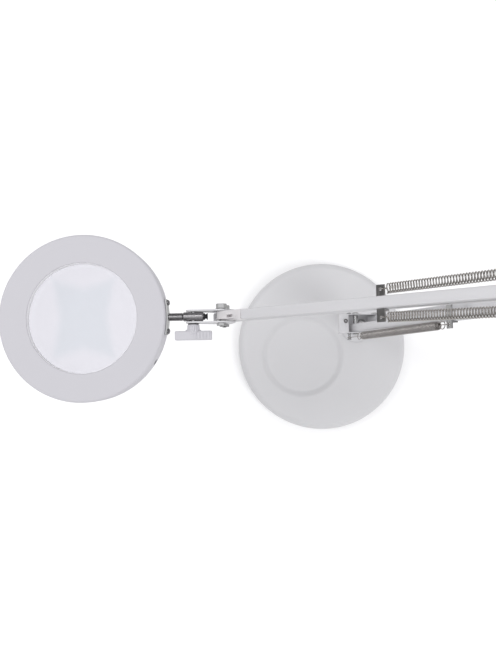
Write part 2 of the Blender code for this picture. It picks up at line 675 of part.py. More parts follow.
def polar_plate(inner, outer, half_angle, low, high, steps):
    """A curved strip round the head's axis, centred on the direction of the stem."""
    bm = bmesh.new()
    sweep = [half_angle * (2 * i / steps - 1) for i in range(steps + 1)]
    rings = []
    for radius in (inner, outer):
        for height in (low, high):
            rings.append([bm.verts.new((radius * cos(a), radius * sin(a), height)) for a in sweep])
    order = (rings[0], rings[1], rings[3], rings[2])
    for first, second in zip(order, order[1:] + order[:1]):
        for i in range(steps):
            bm.faces.new((first[i], first[i + 1], second[i + 1], second[i]))
    for end in (0, steps):
        bm.faces.new([ring[end] for ring in order])
    return bm


def radial_piece(profile, segments, angle, height):
    """A turned piece whose axis points out from the head's centre at that angle."""
    bm = rotated(turned(profile, segments, closed=False), pi / 2, "Y")
    return shifted(rotated(bm, angle, "Z"), z=height)


def build_head(head, white, glass, steel, dark, board, opal):
    centre = bpy.data.objects.new("head_centre", None)
    bpy.context.collection.objects.link(centre)
    centre.parent = head
    centre.location = Vector((-HEAD_REACH, 0.0, 0.0)) * MM

    plate_gap = HEAD_RADIUS + GAP
    plate_out = plate_gap + 1.8
    screw_angle = 13.8 / HEAD_RADIUS
    socket_angle = radians(-32)
    button_ring = 81.0

    inside = HEAD_RADIUS - HEAD_WALL
    tube_in, tube_out = LENS_RADIUS + 0.6, LENS_RADIUS + 2.2
    roof = HEAD_TOP - HEAD_WALL
    edge = arc((HEAD_RADIUS - 3, HEAD_TOP - 3), 3.0, 90, 0, 3)
    top = [(HEAD_OPENING, HEAD_TOP - 0.5), (HEAD_OPENING + 0.5, HEAD_TOP), *edge,
           (HEAD_RADIUS, HEAD_SPLIT), (inside, HEAD_SPLIT), (inside, roof), (tube_out, roof),
           (tube_out, HEAD_BOTTOM + 2.2), (tube_in, HEAD_BOTTOM + 2.2), (tube_in, roof),
           (HEAD_OPENING + 1.8, roof), (HEAD_OPENING + 1.8, LENS_EDGE + 1.6),
           (HEAD_OPENING, LENS_EDGE + 1.6)]
    shell = finish("head_shell_top", turned(top, LARGE_ROUND), white, centre)
    skirt = HEAD_SPLIT - GAP
    lower_edge = arc((HEAD_RADIUS - 2, HEAD_BOTTOM + 2), 2.0, 0, -90, 3)
    floor = HEAD_BOTTOM + 1.8
    bottom = [(inside, skirt), (HEAD_RADIUS, skirt), *lower_edge, (FLANGE_RADIUS, HEAD_BOTTOM),
              (FLANGE_RADIUS, floor), (inside, floor)]
    under = finish("head_shell_bottom", turned(bottom, LARGE_ROUND), white, centre)

    stem_hole = turned(rod(4.6, 78.0, 95.0)[::-1], SMALL_ROUND, closed=False)
    for target in (shell, under):
        boolean(target, rotated(stem_hole.copy(), pi / 2, "Y"))
    stem_hole.free()
    for side in (-1, 1):
        boolean(shell, radial_piece(rod(1.5 + HOLE_PLAY, 78, 95), 12, side * screw_angle, 2.6))
    boolean(under, radial_piece(rod(JACK_RADIUS + GAP, 78, 95), SMALL_ROUND, socket_angle,
                                JACK_LEVEL))
    boolean(under, shifted(turned(rod(2.4 + GAP, -20, -8)[::-1], SMALL_ROUND, closed=False),
                           x=button_ring))

    finish("led_board", turned([(64.0, roof - GAP), (81.5, roof - GAP), (81.5, roof - 1.9),
                                (64.0, roof - 1.9)], LARGE_ROUND), board, centre)
    lip = FLANGE_RADIUS + 2.3
    inset = FLANGE_RADIUS - 0.4
    diffuser = [(62.6, floor + 1.8), (lip, floor + 1.8), (lip, floor + GAP), (inset, floor + GAP),
                (inset, HEAD_BOTTOM + 0.6), (62.6, HEAD_BOTTOM + 0.6)]
    finish("diffuser_ring", turned(diffuser, LARGE_ROUND), opal, centre)
    rings = 5
    face = [(LENS_RADIUS * i / rings, LENS_EDGE + LENS_SAG * (1 - (i / rings) ** 2))
            for i in range(rings + 1)]
    back = [(radius, -height) for radius, height in face[::-1]]
    finish("magnifier_lens", turned(face + back, LARGE_ROUND, closed=False), glass, centre,
           sharp=radians(60))
    finish("lens_ring", turned([(56.8, -LENS_EDGE - 0.9), (tube_in - GAP, -LENS_EDGE - 0.4),
                                (tube_in - GAP, -6.5), (58.0, -6.5)], LARGE_ROUND), white, centre)

    strap = finish("head_plate", polar_plate(plate_gap, plate_out, 18.0 / HEAD_RADIUS, -5.5, 6.5,
                                             10), steel, centre)
    for side, word in ((-1, "near"), (1, "far")):
        boolean(strap, radial_piece(rod(1.5 + HOLE_PLAY, 80, 95), 12, side * screw_angle, 2.6))
        seat = plate_out + GAP
        screw = [(0.0, seat - 8), (1.5, seat - 8), (1.5, seat), (3.2, seat), (2.9, seat + 1.2),
                 (1.6, seat + 2.1), (0.0, seat + 2.3)]
        finish(f"head_screw_{word}", radial_piece(screw, SMALL_ROUND, side * screw_angle, 2.6), dark,
               centre)
    boolean(strap, radial_piece(rod(2.4 + HOLE_PLAY, 80, 95), SMALL_ROUND, 0.0, 0.0))

    stem_start = plate_out + GAP
    stem_end = HEAD_REACH - BARREL_HALF - GAP
    tip = HEAD_REACH - 3.6
    stem = [(0.0, plate_gap - 2.2), (4.0, plate_gap - 2.0), (3.4, plate_gap - 0.5),
            (2.4, plate_gap - 0.5), (2.4, stem_start), (4.05, stem_start),
            (4.05, stem_end - 0.5), (3.6, stem_end), (2.4, stem_end), (2.4, tip), (0.0, tip)]
    finish("head_stem", radial_piece(stem, MEDIUM_ROUND, 0.0, 0.0), steel, centre)

    lip = HEAD_RADIUS - 0.4
    jack = [(0.0, inside - 7), (JACK_RADIUS, inside - 7), (JACK_RADIUS, lip), (2.4, lip),
            (2.4, lip - 6), (0.0, lip - 6)]
    finish("power_socket", radial_piece(jack, SMALL_ROUND, socket_angle, JACK_LEVEL), dark,
           centre)
    return centre, button_ring


def build_button(button, dark):
    cap = [(0.0, HEAD_BOTTOM - 1.6), (1.9, HEAD_BOTTOM - 1.6), (2.4, HEAD_BOTTOM - 1.1),
           (2.4, HEAD_BOTTOM + 1.0), (2.4, HEAD_BOTTOM + 2.2), (0.0, HEAD_BOTTOM + 2.2)]
    finish("switch_button", shifted(turned(cap[::-1], SMALL_ROUND, closed=False), z=-HEAD_BOTTOM),
           dark, button)


# ---------------------------------------------------------------- assembly

def build():
    clear_scene()
    paint = material("painted_white", (0.72, 0.72, 0.73), 0.4)
    white = material("white_plastic", (0.70, 0.70, 0.71), 0.45)
    steel = material("bright_steel", (0.55, 0.54, 0.52), 0.25, 1.0)
    dark = material("dark_steel", (0.12, 0.12, 0.13), 0.35, 0.9)
    spring_steel = material("spring_wire", (0.50, 0.47, 0.43), 0.3, 1.0)
    iron = material("cast_iron", (0.08, 0.08, 0.085), 0.7, 0.4)
    foam = material("foam_rubber", (0.03, 0.03, 0.03), 0.9)
    nylon = material("nylon", (0.80, 0.79, 0.75), 0.5)
    glass = material("lens_glass", (0.86, 0.89, 0.95), 0.03, 0.0, 0.35)
    board = material("circuit_board", (0.82, 0.83, 0.80), 0.5)
    opal = material("opal_plastic", (0.90, 0.90, 0.90), 0.4)

    root = frame("base_axis", None, (0, 0, 0))
    post_x, post_y = build_base(root, paint, iron, foam, steel, nylon)

    swivel = frame("swivel_axis", root, (post_x, post_y, 0))
    pivot_x, pivot_z = build_shoulder(swivel, paint, steel, dark)

    front = frame("lower_front_axis", swivel, (pivot_x, 0, pivot_z), -LOWER_ANGLE)
    rear = frame("lower_rear_axis", swivel, (pivot_x + REAR_LINK[0], 0, pivot_z + REAR_LINK[1]),
                 -LOWER_ANGLE)
    build_lower_arm(front, rear, paint, steel, spring_steel)

    elbow = frame("elbow_axis", front, (ARM_LENGTH, 0, 0), LOWER_ANGLE)
    build_elbow(elbow, paint, steel, nylon)

    top = frame("upper_top_axis", elbow, (ELBOW_RISE[0], 0, ELBOW_RISE[1]), -UPPER_ANGLE)
    bottom = frame("upper_bottom_axis", elbow, (ELBOW_RISE[0] + BOTTOM_LINK[0], 0,
                                                ELBOW_RISE[1] + BOTTOM_LINK[1]), -UPPER_ANGLE)
    build_upper_arm(top, bottom, paint, steel, spring_steel)

    wrist = frame("wrist_axis", top, (-ARM_LENGTH, 0, 0), UPPER_ANGLE)
    build_fork(wrist, paint, steel)
    knob = frame("knob_axis", wrist, (-TILT_REACH, 0, 0))
    build_clamp(wrist, knob, white, steel, dark)

    tilt = frame("tilt_axis", wrist, (-TILT_REACH, 0, 0))
    build_barrel(tilt, steel)
    head = frame("roll_axis", tilt, (0, 0, 0))
    centre, button_ring = build_head(head, white, glass, steel, dark, board, opal)
    button = frame("button_axis", centre, (button_ring, 0, HEAD_BOTTOM))
    build_button(button, dark)


build()
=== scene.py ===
"""Looks for the table magnifying lamp: fine shells, wound springs and the finish of every piece.

Lengths are in millimetres, as on a drawing, and piece() turns them into metres. Places come from
the frame: the joints' positions and the boxes of the CAD nodes. Every sub-part has its own
section, and every material its own entry.
"""
import json
from math import cos, pi, radians, sin, sqrt, tau

import bmesh
import bpy
from mathutils import Matrix, Vector


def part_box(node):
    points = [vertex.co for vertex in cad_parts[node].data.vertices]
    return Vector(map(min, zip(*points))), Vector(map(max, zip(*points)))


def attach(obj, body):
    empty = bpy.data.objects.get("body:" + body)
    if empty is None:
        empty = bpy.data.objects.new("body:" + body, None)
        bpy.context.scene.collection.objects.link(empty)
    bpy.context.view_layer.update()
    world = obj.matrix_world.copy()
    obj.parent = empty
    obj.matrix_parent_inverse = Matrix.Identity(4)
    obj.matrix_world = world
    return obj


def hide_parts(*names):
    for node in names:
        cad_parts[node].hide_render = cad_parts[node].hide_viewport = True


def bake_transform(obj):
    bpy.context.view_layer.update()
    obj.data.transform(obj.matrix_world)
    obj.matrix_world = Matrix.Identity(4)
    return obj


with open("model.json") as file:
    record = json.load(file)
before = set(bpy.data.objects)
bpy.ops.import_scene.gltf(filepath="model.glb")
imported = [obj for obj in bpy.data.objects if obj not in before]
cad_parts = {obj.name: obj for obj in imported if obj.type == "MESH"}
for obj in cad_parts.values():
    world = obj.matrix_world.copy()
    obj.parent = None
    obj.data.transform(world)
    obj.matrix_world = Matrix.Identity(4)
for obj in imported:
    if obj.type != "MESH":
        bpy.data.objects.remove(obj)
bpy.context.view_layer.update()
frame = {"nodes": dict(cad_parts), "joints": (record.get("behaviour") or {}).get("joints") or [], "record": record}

MM = 0.001

# Segments round a full turn, by the size of the piece
LARGE = 192
FINE = 128
ROUND = 48
SMALL = 28

# Sockets of a Mix node that mixes colours: its two inputs and its result
MIX_A, MIX_B, MIXED = 6, 7, 2

# Driving sizes that the frame does not hold
COVER_WALL = 2.2
SHELL_WALL = 2.2
TUBE_RADIUS = 11.5
BORE_RADIUS = 2.8
SPRING_RADIUS = 4.75
STRAP_LEVEL = 6.05
STRAP_BEYOND_HOLE = 4.0

BODY_OF = {node: body for body, nodes in frame["record"]["behaviour"]["bodies"].items()
           for node in nodes}
PIVOT = {joint["name"]: Vector(joint["pos_m"]) / MM for joint in frame["joints"]
         if "pos_m" in joint}


# ---------------------------------------------------------------- measuring the frame

def low_high(node):
    low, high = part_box(node)
    return low / MM, high / MM


def middle(node):
    low, high = low_high(node)
    return (low + high) / 2


def half_size(node):
    low, high = low_high(node)
    return (high - low) / 2


# ---------------------------------------------------------------- mesh helpers

def filleted(points, closed=False, steps=4):
    """Profile points (radius, height[, fillet]) with each fillet's corner rounded off."""
    flat = [Vector(point[:2]) for point in points]
    smooth = []
    for i, point in enumerate(points):
        size = point[2] if len(point) > 2 else 0.0
        at_end = not closed and i in (0, len(points) - 1)
        if size == 0.0 or at_end:
            smooth.append(flat[i])
            continue
        before, after = flat[i - 1] - flat[i], flat[(i + 1) % len(flat)] - flat[i]
        first = flat[i] + before.normalized() * min(size, before.length * 0.49)
        last = flat[i] + after.normalized() * min(size, after.length * 0.49)
        for k in range(steps + 1):
            t = k / steps
            smooth.append(first * (1 - t) ** 2 + flat[i] * 2 * t * (1 - t) + last * t ** 2)
    return [(point.x, point.y) for point in smooth]


def stacked(rings, segments, closed=False):
    """Skin a stack of (centre x, centre y, radius, height) rings; radius 0 is a single point."""
    bm = bmesh.new()
    loops = []
    for x, y, radius, height in rings:
        if radius < 1e-6:
            loops.append([bm.verts.new((x, y, height))])
            continue
        turns = [tau * i / segments for i in range(segments)]
        loops.append([bm.verts.new((x + radius * cos(a), y + radius * sin(a), height))
                      for a in turns])
    pairs = list(zip(loops, loops[1:]))
    if closed:
        pairs.append((loops[-1], loops[0]))
    for first, second in pairs:
        skin(bm, first, second)
    return bm


def skin(bm, first, second):
    """Faces between two loops of equal length, or between a loop and a single point."""
    count = max(len(first), len(second))
    for i in range(count):
        j = (i + 1) % count
        corners = [first[i % len(first)], first[j % len(first)], second[j % len(second)],
                   second[i % len(second)]]
        unique = list(dict.fromkeys(corners))
        if len(unique) > 2:
            bm.faces.new(unique)


def turned(points, segments=ROUND, closed=False, steps=4):
    """A profile of (radius, height[, fillet]) points turned about Z."""
    profile = filleted(points, closed, steps)
    return stacked([(0.0, 0.0, max(radius, 0.0), height) for radius, height in profile],
                   segments, closed)


def placed(bm, centre=(0, 0, 0), axis=(0, 0, 1)):
    """Turn a bmesh so that its Z runs along an axis, then move it."""
    turn = Vector((0, 0, 1)).rotation_difference(Vector(axis)).to_matrix()
    bmesh.ops.rotate(bm, cent=(0, 0, 0), matrix=turn, verts=bm.verts)
    bmesh.ops.translate(bm, vec=centre, verts=bm.verts)
    return bm


def extruded(outline, low, high):
    """A prism: an outline of (x, y) points between two heights."""
    bm = bmesh.new()
    bottom = [bm.verts.new((x, y, low)) for x, y in outline]
    top = [bm.verts.new((x, y, high)) for x, y in outline]
    skin(bm, bottom, top)
    bm.faces.new(bottom[::-1])
    bm.faces.new(top)
    return bm


def bevelled(bm, width, limit=radians(30), segments=2):
    """Round every edge sharper than the limit."""
    bmesh.ops.recalc_face_normals(bm, faces=bm.faces)
    sharp = [edge for edge in bm.edges
             if len(edge.link_faces) == 2 and edge.calc_face_angle(0.0) > limit]
    bmesh.ops.bevel(bm, geom=sharp, offset=width, offset_type="OFFSET", segments=segments,
                    profile=0.5, affect="EDGES", clamp_overlap=True)
    return bm


def swept(path, radius, sides=8):
    """A round wire along a path of points."""
    bm = bmesh.new()
    loops = []
    side = None
    for i, point in enumerate(path):
        ahead, behind = path[min(i + 1, len(path) - 1)], path[max(i - 1, 0)]
        tangent = (ahead - behind).normalized()
        if side is None:
            side = tangent.orthogonal().normalized()
        side = (side - tangent * side.dot(tangent)).normalized()
        other = tangent.cross(side)
        turns = [tau * k / sides for k in range(sides)]
        loops.append([bm.verts.new(point + (side * cos(a) + other * sin(a)) * radius)
                      for a in turns])
    for first, second in zip(loops, loops[1:]):
        skin(bm, first, second)
    bm.faces.new(loops[0])
    bm.faces.new(loops[-1])
    return bm


def splined(points, steps=5):
    """A smooth curve through the points (Catmull-Rom)."""
    padded = [points[0] * 2 - points[1], *points, points[-1] * 2 - points[-2]]
    curve = []
    for a, b, c, d in zip(padded, padded[1:], padded[2:], padded[3:]):
        for k in range(steps):
            t = k / steps
            curve.append((b * 2 + (c - a) * t + (a * 2 - b * 5 + c * 4 - d) * t ** 2
                          + (b * 3 - a - c * 3 + d) * t ** 3) / 2)
    return curve + [points[-1]]


def piece(name, bm, look, body, replaced=(), sharp=radians(40)):
    """Turn a bmesh in millimetres into a shown piece that rides on a body."""
    bmesh.ops.scale(bm, vec=(MM, MM, MM), verts=bm.verts)
    bmesh.ops.recalc_face_normals(bm, faces=bm.faces)
    mesh = bpy.data.meshes.new(name)
    bm.to_mesh(mesh)
    bm.free()
    mesh.shade_smooth()
    mesh.set_sharp_from_angle(angle=sharp)
    mesh.materials.append(LOOKS[look])
    made = bpy.data.objects.new(name, mesh)
    bpy.context.scene.collection.objects.link(made)
    if body:
        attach(made, body)
    if replaced:
        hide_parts(*replaced)
    return made


def reworked(made, tool_bm, operation="DIFFERENCE"):
    """Apply an exact boolean with a bmesh in millimetres, and keep the result in the mesh."""
    tool = piece("tool", tool_bm, "painted_frame", None)
    step = made.modifiers.new("cut", "BOOLEAN")
    step.operation = operation
    step.solver = "EXACT"
    step.object = tool
    graph = bpy.context.evaluated_depsgraph_get()
    result = bpy.data.meshes.new_from_object(made.evaluated_get(graph))
    made.modifiers.clear()
    made.data = result
    bpy.data.objects.remove(tool)
    result.shade_smooth()
    result.set_sharp_from_angle(angle=radians(40))
    return made


def finished(node, look, width=0.3, sharp=radians(40)):
    """The CAD node's own shape with its edges broken, as a piece that stands for the node."""
    bm = bmesh.new()
    bm.from_mesh(frame["nodes"][node].data)
    bmesh.ops.scale(bm, vec=(1 / MM, 1 / MM, 1 / MM), verts=bm.verts)
    bmesh.ops.remove_doubles(bm, verts=bm.verts, dist=1e-3)
    bmesh.ops.dissolve_limit(bm, angle_limit=radians(1), verts=bm.verts, edges=bm.edges)
    bevelled(bm, width)
    return piece(f"{node}_finished", bm, look, BODY_OF[node], (node,), sharp)


# ---------------------------------------------------------------- materials

def look(name, colour, roughness, metallic=0.0, vary=0.03, rough_vary=0.06, patch=25.0,
         grain=900.0, depth=0.02, stretch=(1.0, 1.0, 1.0), **inputs):
    """A procedural finish: broad colour and gloss drift, and a fine grain that lifts the surface.

    patch and grain are noise scales per metre, depth is the grain's height in millimetres.
    """
    made = bpy.data.materials.new(name)
    made.use_nodes = True
    nodes, links = made.node_tree.nodes, made.node_tree.links
    shader = nodes["Principled BSDF"]
    place = nodes.new("ShaderNodeTexCoord")
    stretched = nodes.new("ShaderNodeMapping")
    stretched.inputs["Scale"].default_value = stretch
    links.new(place.outputs["Object"], stretched.inputs["Vector"])

    def noise(scale, detail, source):
        made_noise = nodes.new("ShaderNodeTexNoise")
        made_noise.inputs["Scale"].default_value = scale
        made_noise.inputs["Detail"].default_value = detail
        links.new(source, made_noise.inputs["Vector"])
        return made_noise.outputs["Fac"]

    def ranged(source, low, high):
        mapped = nodes.new("ShaderNodeMapRange")
        mapped.inputs["From Min"].default_value = 0.3
        mapped.inputs["From Max"].default_value = 0.7
        mapped.inputs["To Min"].default_value = low
        mapped.inputs["To Max"].default_value = high
        links.new(source, mapped.inputs["Value"])
        return mapped.outputs["Result"]

    broad = noise(patch, 3.0, place.outputs["Object"])
    fine = noise(grain, 2.0, stretched.outputs["Vector"])
    tone = nodes.new("ShaderNodeMix")
    tone.data_type = "RGBA"
    darker = [channel * (1 - vary) for channel in colour]
    lighter = [min(channel * (1 + vary), 1.0) for channel in colour]
    tone.inputs[MIX_A].default_value = (*darker, 1.0)
    tone.inputs[MIX_B].default_value = (*lighter, 1.0)
    both = nodes.new("ShaderNodeMath")
    both.operation = "MULTIPLY_ADD"
    both.inputs[1].default_value = 0.6
    links.new(ranged(broad, 0.0, 1.0), both.inputs[0])
    links.new(ranged(fine, 0.0, 0.4), both.inputs[2])
    links.new(both.outputs["Value"], tone.inputs["Factor"])
    links.new(tone.outputs[MIXED], shader.inputs["Base Color"])
    links.new(ranged(broad, max(roughness - rough_vary, 0.02), roughness + rough_vary),
              shader.inputs["Roughness"])
    shader.inputs["Metallic"].default_value = metallic
    if depth:
        bump = nodes.new("ShaderNodeBump")
        bump.inputs["Strength"].default_value = 0.5
        bump.inputs["Distance"].default_value = depth * MM
        links.new(fine, bump.inputs["Height"])
        links.new(bump.outputs["Normal"], shader.inputs["Normal"])
    for key, value in inputs.items():
        shader.inputs[key.replace("_", " ")].default_value = value
    return made


def painted_window_reflection(made, centre, half_x, half_y, colour):
    """A soft four-pointed patch of another tint round a centre: a painted reflection of a window, darker and
    bluer, in the lens's colour.
    """
    nodes, links = made.node_tree.nodes, made.node_tree.links
    moved = nodes.new("ShaderNodeMapping")
    moved.vector_type = "TEXTURE"
    moved.inputs["Location"].default_value = centre * MM
    moved.inputs["Scale"].default_value = (half_x * MM, half_y * MM, 1.0)
    links.new(nodes["Texture Coordinate"].outputs["Object"], moved.inputs["Vector"])
    folded = nodes.new("ShaderNodeVectorMath")
    folded.operation = "ABSOLUTE"
    links.new(moved.outputs["Vector"], folded.inputs[0])
    split = nodes.new("ShaderNodeSeparateXYZ")
    links.new(folded.outputs["Vector"], split.inputs["Vector"])

    def compared(operation):
        made_math = nodes.new("ShaderNodeMath")
        made_math.operation = operation
        links.new(split.outputs["X"], made_math.inputs[0])
        links.new(split.outputs["Y"], made_math.inputs[1])
        return made_math.outputs["Value"]

    pointed = nodes.new("ShaderNodeMath")
    pointed.operation = "MULTIPLY_ADD"
    pointed.inputs[1].default_value = -0.22
    links.new(compared("MINIMUM"), pointed.inputs[0])
    links.new(compared("MAXIMUM"), pointed.inputs[2])
    soft = nodes.new("ShaderNodeMapRange")
    soft.interpolation_type = "SMOOTHSTEP"
    soft.inputs["From Min"].default_value = 0.7
    soft.inputs["From Max"].default_value = 1.15
    soft.inputs["To Min"].default_value = 1.0
    soft.inputs["To Max"].default_value = 0.0
    links.new(pointed.outputs["Value"], soft.inputs["Value"])
    mix = nodes.new("ShaderNodeMix")
    mix.data_type = "RGBA"
    mix.inputs[MIX_B].default_value = (*colour, 1.0)
    links.new(soft.outputs["Result"], mix.inputs["Factor"])
    links.new(nodes["Mix"].outputs[MIXED], mix.inputs[MIX_A])
    links.new(mix.outputs[MIXED], nodes["Principled BSDF"].inputs["Base Color"])


def traced_board(made):
    """Concentric copper tracks that show faintly through the board's white mask."""
    nodes, links = made.node_tree.nodes, made.node_tree.links
    bump = nodes["Bump"]
    rings = nodes.new("ShaderNodeTexWave")
    rings.wave_type = "RINGS"
    rings.rings_direction = "Z"
    rings.inputs["Scale"].default_value = 120.0
    links.new(nodes["Texture Coordinate"].outputs["Object"], rings.inputs["Vector"])
    links.new(rings.outputs["Fac"], bump.inputs["Height"])


# The lens's faint glow stands for light that scatters inside the glass
LOOKS = {
    "painted_frame": look("powder_coat", (0.64, 0.635, 0.65), 0.36, vary=0.02, grain=650.0,
                          depth=0.03, Coat_Weight=0.25, Coat_Roughness=0.18),
    "moulded_white": look("fine_moulding", (0.565, 0.557, 0.588), 0.48, vary=0.015, grain=1800.0,
                          depth=0.02),
    "base_coat": look("base_powder_coat", (0.635, 0.632, 0.643), 0.42, vary=0.015, grain=700.0,
                      depth=0.03, Coat_Weight=0.15, Coat_Roughness=0.25),
    "plug_grey": look("moulded_plug", (0.70, 0.68, 0.685), 0.45, grain=1500.0),
    "zinc_steel": look("bright_zinc", (0.60, 0.60, 0.60), 0.2, 1.0, vary=0.06, grain=1200.0,
                       depth=0.008),
    "nickel_steel": look("black_nickel", (0.42, 0.41, 0.42), 0.18, 1.0, vary=0.06,
                         stretch=(0.15, 1.0, 1.0), grain=2500.0, depth=0.0),
    "strap_steel": look("rolled_strap", (0.44, 0.43, 0.425), 0.34, 1.0, vary=0.08,
                        stretch=(1.0, 0.1, 1.0), grain=2500.0, depth=0.01),
    "spring_wire": look("drawn_wire", (0.66, 0.63, 0.60), 0.16, 1.0, vary=0.05, grain=2000.0,
                        depth=0.006),
    "tight_wire": look("tight_wound_wire", (0.64, 0.61, 0.59), 0.24, 1.0, vary=0.07,
                       grain=2000.0, depth=0.006),
    "dark_steel": look("burnished_steel", (0.10, 0.10, 0.105), 0.3, 0.9, vary=0.15,
                       grain=1500.0, depth=0.01),
    "cast_iron": look("sand_casting", (0.07, 0.07, 0.075), 0.75, 0.3, vary=0.2, grain=350.0,
                      depth=0.25),
    "foam_rubber": look("closed_cell_foam", (0.035, 0.035, 0.037), 0.95, vary=0.2, grain=900.0,
                        depth=0.15),
    "nylon": look("natural_nylon", (0.78, 0.77, 0.73), 0.42, grain=800.0, depth=0.01,
                  Subsurface_Weight=0.2, Subsurface_Scale=0.002),
    # Near white: painted light for the shaded wall in the head's opening.
    "painted_light_white": look("painted_light_white", (0.9, 0.895, 0.92), 0.4, vary=0.01, depth=0.0),
    "lens_glass": look("lens_glass", (0.671, 0.664, 0.707), 0.02, vary=0.004, rough_vary=0.01,
                       grain=60.0, depth=0.0, Transmission_Weight=1.0, IOR=1.5,
                       Emission_Color=(1, 1, 1, 1), Emission_Strength=0.04),
    "opal_plastic": look("opal_diffuser", (0.88, 0.88, 0.88), 0.4, vary=0.01, grain=1500.0,
                         depth=0.01, Transmission_Weight=0.35, Subsurface_Weight=0.4,
                         Subsurface_Scale=0.003),
    "circuit_board": look("solder_mask", (0.80, 0.81, 0.79), 0.45, vary=0.03, grain=600.0,
                          depth=0.03),
    "led_phosphor": look("led_phosphor", (0.80, 0.66, 0.12), 0.35, vary=0.08, grain=2000.0,
                         depth=0.01),
    "black_plastic": look("black_moulding", (0.03, 0.03, 0.032), 0.38, vary=0.1, grain=1800.0,
                          depth=0.02),
}
traced_board(LOOKS["circuit_board"])
# The lens's centre gets a painted reflection of a window: a soft bluish patch in its colour.
painted_window_reflection(LOOKS["lens_glass"], middle("magnifier_lens"), 26.0, 33.0, (0.602, 0.619, 0.662))


# ---------------------------------------------------------------- small hardware

def rivet(node):
    """A tubular rivet across the arm: shouldered inside, domed and dimpled outside."""
    half = half_size(node).y
    outer = [(3.4, half - 3.7, 0.1), (2.4, half - 3.7), (2.4, half - 2.0), (4.6, half - 2.0, 0.3),
             (4.5, half - 1.3, 0.5), (2.8, half - 0.1, 0.9), (1.5, half, 0.3),
             (0.9, half - 0.7, 0.3), (0.0, half - 0.8)]
    inner = [(point[0], -point[1], *point[2:]) for point in outer[::-1]]
    bm = placed(turned(inner + outer, SMALL), middle(node), (0, 1, 0))
    piece(f"{node}_rivet", bm, "zinc_steel", BODY_OF[node], (node,))


def hook_post(node, outward):
    """The headed post beside a side plate, grooved where the spring's eye sits."""
    size = half_size(node).y
    tip = 2 * size
    profile = [(0.0, 0.0), (1.8, 0.0), (1.8, 1.3), (2.8, 1.3, 0.2), (2.8, 2.2, 0.2), (1.6, 2.5),
               (1.6, tip - 1.8), (2.6, tip - 1.5, 0.3), (2.6, tip - 0.5, 0.3),
               (1.4, tip - 0.1, 0.4), (0.0, tip)]
    start = middle(node) - Vector((0, outward * size, 0))
    bm = placed(turned(profile, SMALL), start, (0, outward, 0))
    piece(f"{node}_post", bm, "zinc_steel", BODY_OF[node], (node,))


def pan_screw(node, seat, axis, head, shank, length, look_name="dark_steel"):
    """A pan head screw with a cross recess; seat is the point under its head."""
    rise = head * 0.72
    profile = [(0.0, -length), (shank * 0.8, -length, 0.2), (shank, 0.6 - length), (shank, 0.0),
               (head, 0.0, 0.2), (head * 0.96, rise * 0.45, 0.7), (head * 0.5, rise, 0.8),
               (0.0, rise)]
    bm = placed(turned(profile, SMALL), seat, axis)
    made = piece(f"{node}_screw", bm, look_name, BODY_OF[node], (node,))
    arm, slot = head * 0.58, head * 0.13
    cross = [(arm, slot), (slot, slot), (slot, arm)]
    for _ in range(9):
        x, y = cross[-3]
        cross.append((-y, x))
    reworked(made, placed(extruded(cross, rise * 0.35, rise + 1.0), seat, axis))


def hexagon(across_flats):
    corner = across_flats / sqrt(3)
    return [(corner * cos(i * pi / 3), corner * sin(i * pi / 3)) for i in range(6)]


def hex_head(flats, low, high, chamfer_low=False):
    """Hexagon prism with its corners turned back to a cone, as on a real bolt head."""
    corner = flats / sqrt(3)
    made = piece("hexagon", extruded(hexagon(flats), low, high), "zinc_steel", None)
    cone = [(0.0, low), (corner * 0.92 if chamfer_low else corner + 0.1, low),
            (corner + 0.1, low + 0.5), (corner + 0.1, high - 0.5), (corner * 0.92, high),
            (0.0, high)]
    reworked(made, turned(cone, ROUND), "INTERSECT")
    bm = bmesh.new()
    bm.from_mesh(made.data)
    bmesh.ops.scale(bm, vec=(1 / MM, 1 / MM, 1 / MM), verts=bm.verts)
    bpy.data.objects.remove(made)
    return bm


def fork_bolt(node, nut_node):
    """A flanged hexagon bolt across the fork with its nut: threads show past the nut."""
    low, high = low_high(node)
    at = middle(node)
    place = Vector((at.x, 0, at.z))
    face = high.y - 5.6
    shank, flange = 2.45, 6.06
    thread = []
    turns = 14
    start, stop = low.y + 0.5, low.y + 9.5
    for i in range(turns):
        height = start + (stop - start) * i / turns
        thread += [(shank - 0.3, height), (shank, height + 0.32)]
    profile = [(0.0, low.y), (shank - 0.6, low.y), *thread, (shank, stop), (shank, face),
               (flange, face, 0.2), (flange, face + 0.9, 0.4), (4.6, face + 1.3), (0.0, face + 1.3)]
    made = piece(f"{node}_bolt", placed(turned(profile, SMALL), place, (0, 1, 0)), "zinc_steel",
                 BODY_OF[node], (node,))
    head = placed(hex_head(9.6, face + 0.6, high.y), place, (0, 1, 0))
    reworked(made, head, "UNION")
    nut_low, nut_high = low_high(nut_node)
    nut = placed(hex_head(8.6, nut_low.y, nut_high.y, True), place, (0, 1, 0))
    made = piece(f"{nut_node}_nut", nut, "zinc_steel", BODY_OF[nut_node], (nut_node,))
    bore = turned([(0.0, nut_low.y - 1), (shank + 0.3, nut_low.y - 1),
                   (shank + 0.3, nut_high.y + 1), (0.0, nut_high.y + 1)], SMALL)
    reworked(made, placed(bore, place, (0, 1, 0)))


def build_hardware():
    for node in ("shoulder_pivot_front", "shoulder_pivot_rear", "elbow_pivot_front",
                 "elbow_pivot_rear", "elbow_pivot_top", "elbow_pivot_bottom"):
        rivet(node)
    for place in ("shoulder", "elbow"):
        hook_post(f"{place}_hook_near", -1)
        hook_post(f"{place}_hook_far", 1)
    for word in ("upper", "lower"):
        fork_bolt(f"fork_bolt_{word}", f"fork_nut_{word}")
    low, high = low_high("bracket_screw")
    seat = middle("bracket_screw")
    seat.z = high.z - 1.5
    pan_screw("bracket_screw", seat, (0, 0, 1), 2.6, 1.5, seat.z - low.z, "nickel_steel")
    for level in ("top", "bottom"):
        for side in ("near", "far"):
            spacer(f"{level}_spacer_{side}")
    clamp_parts()


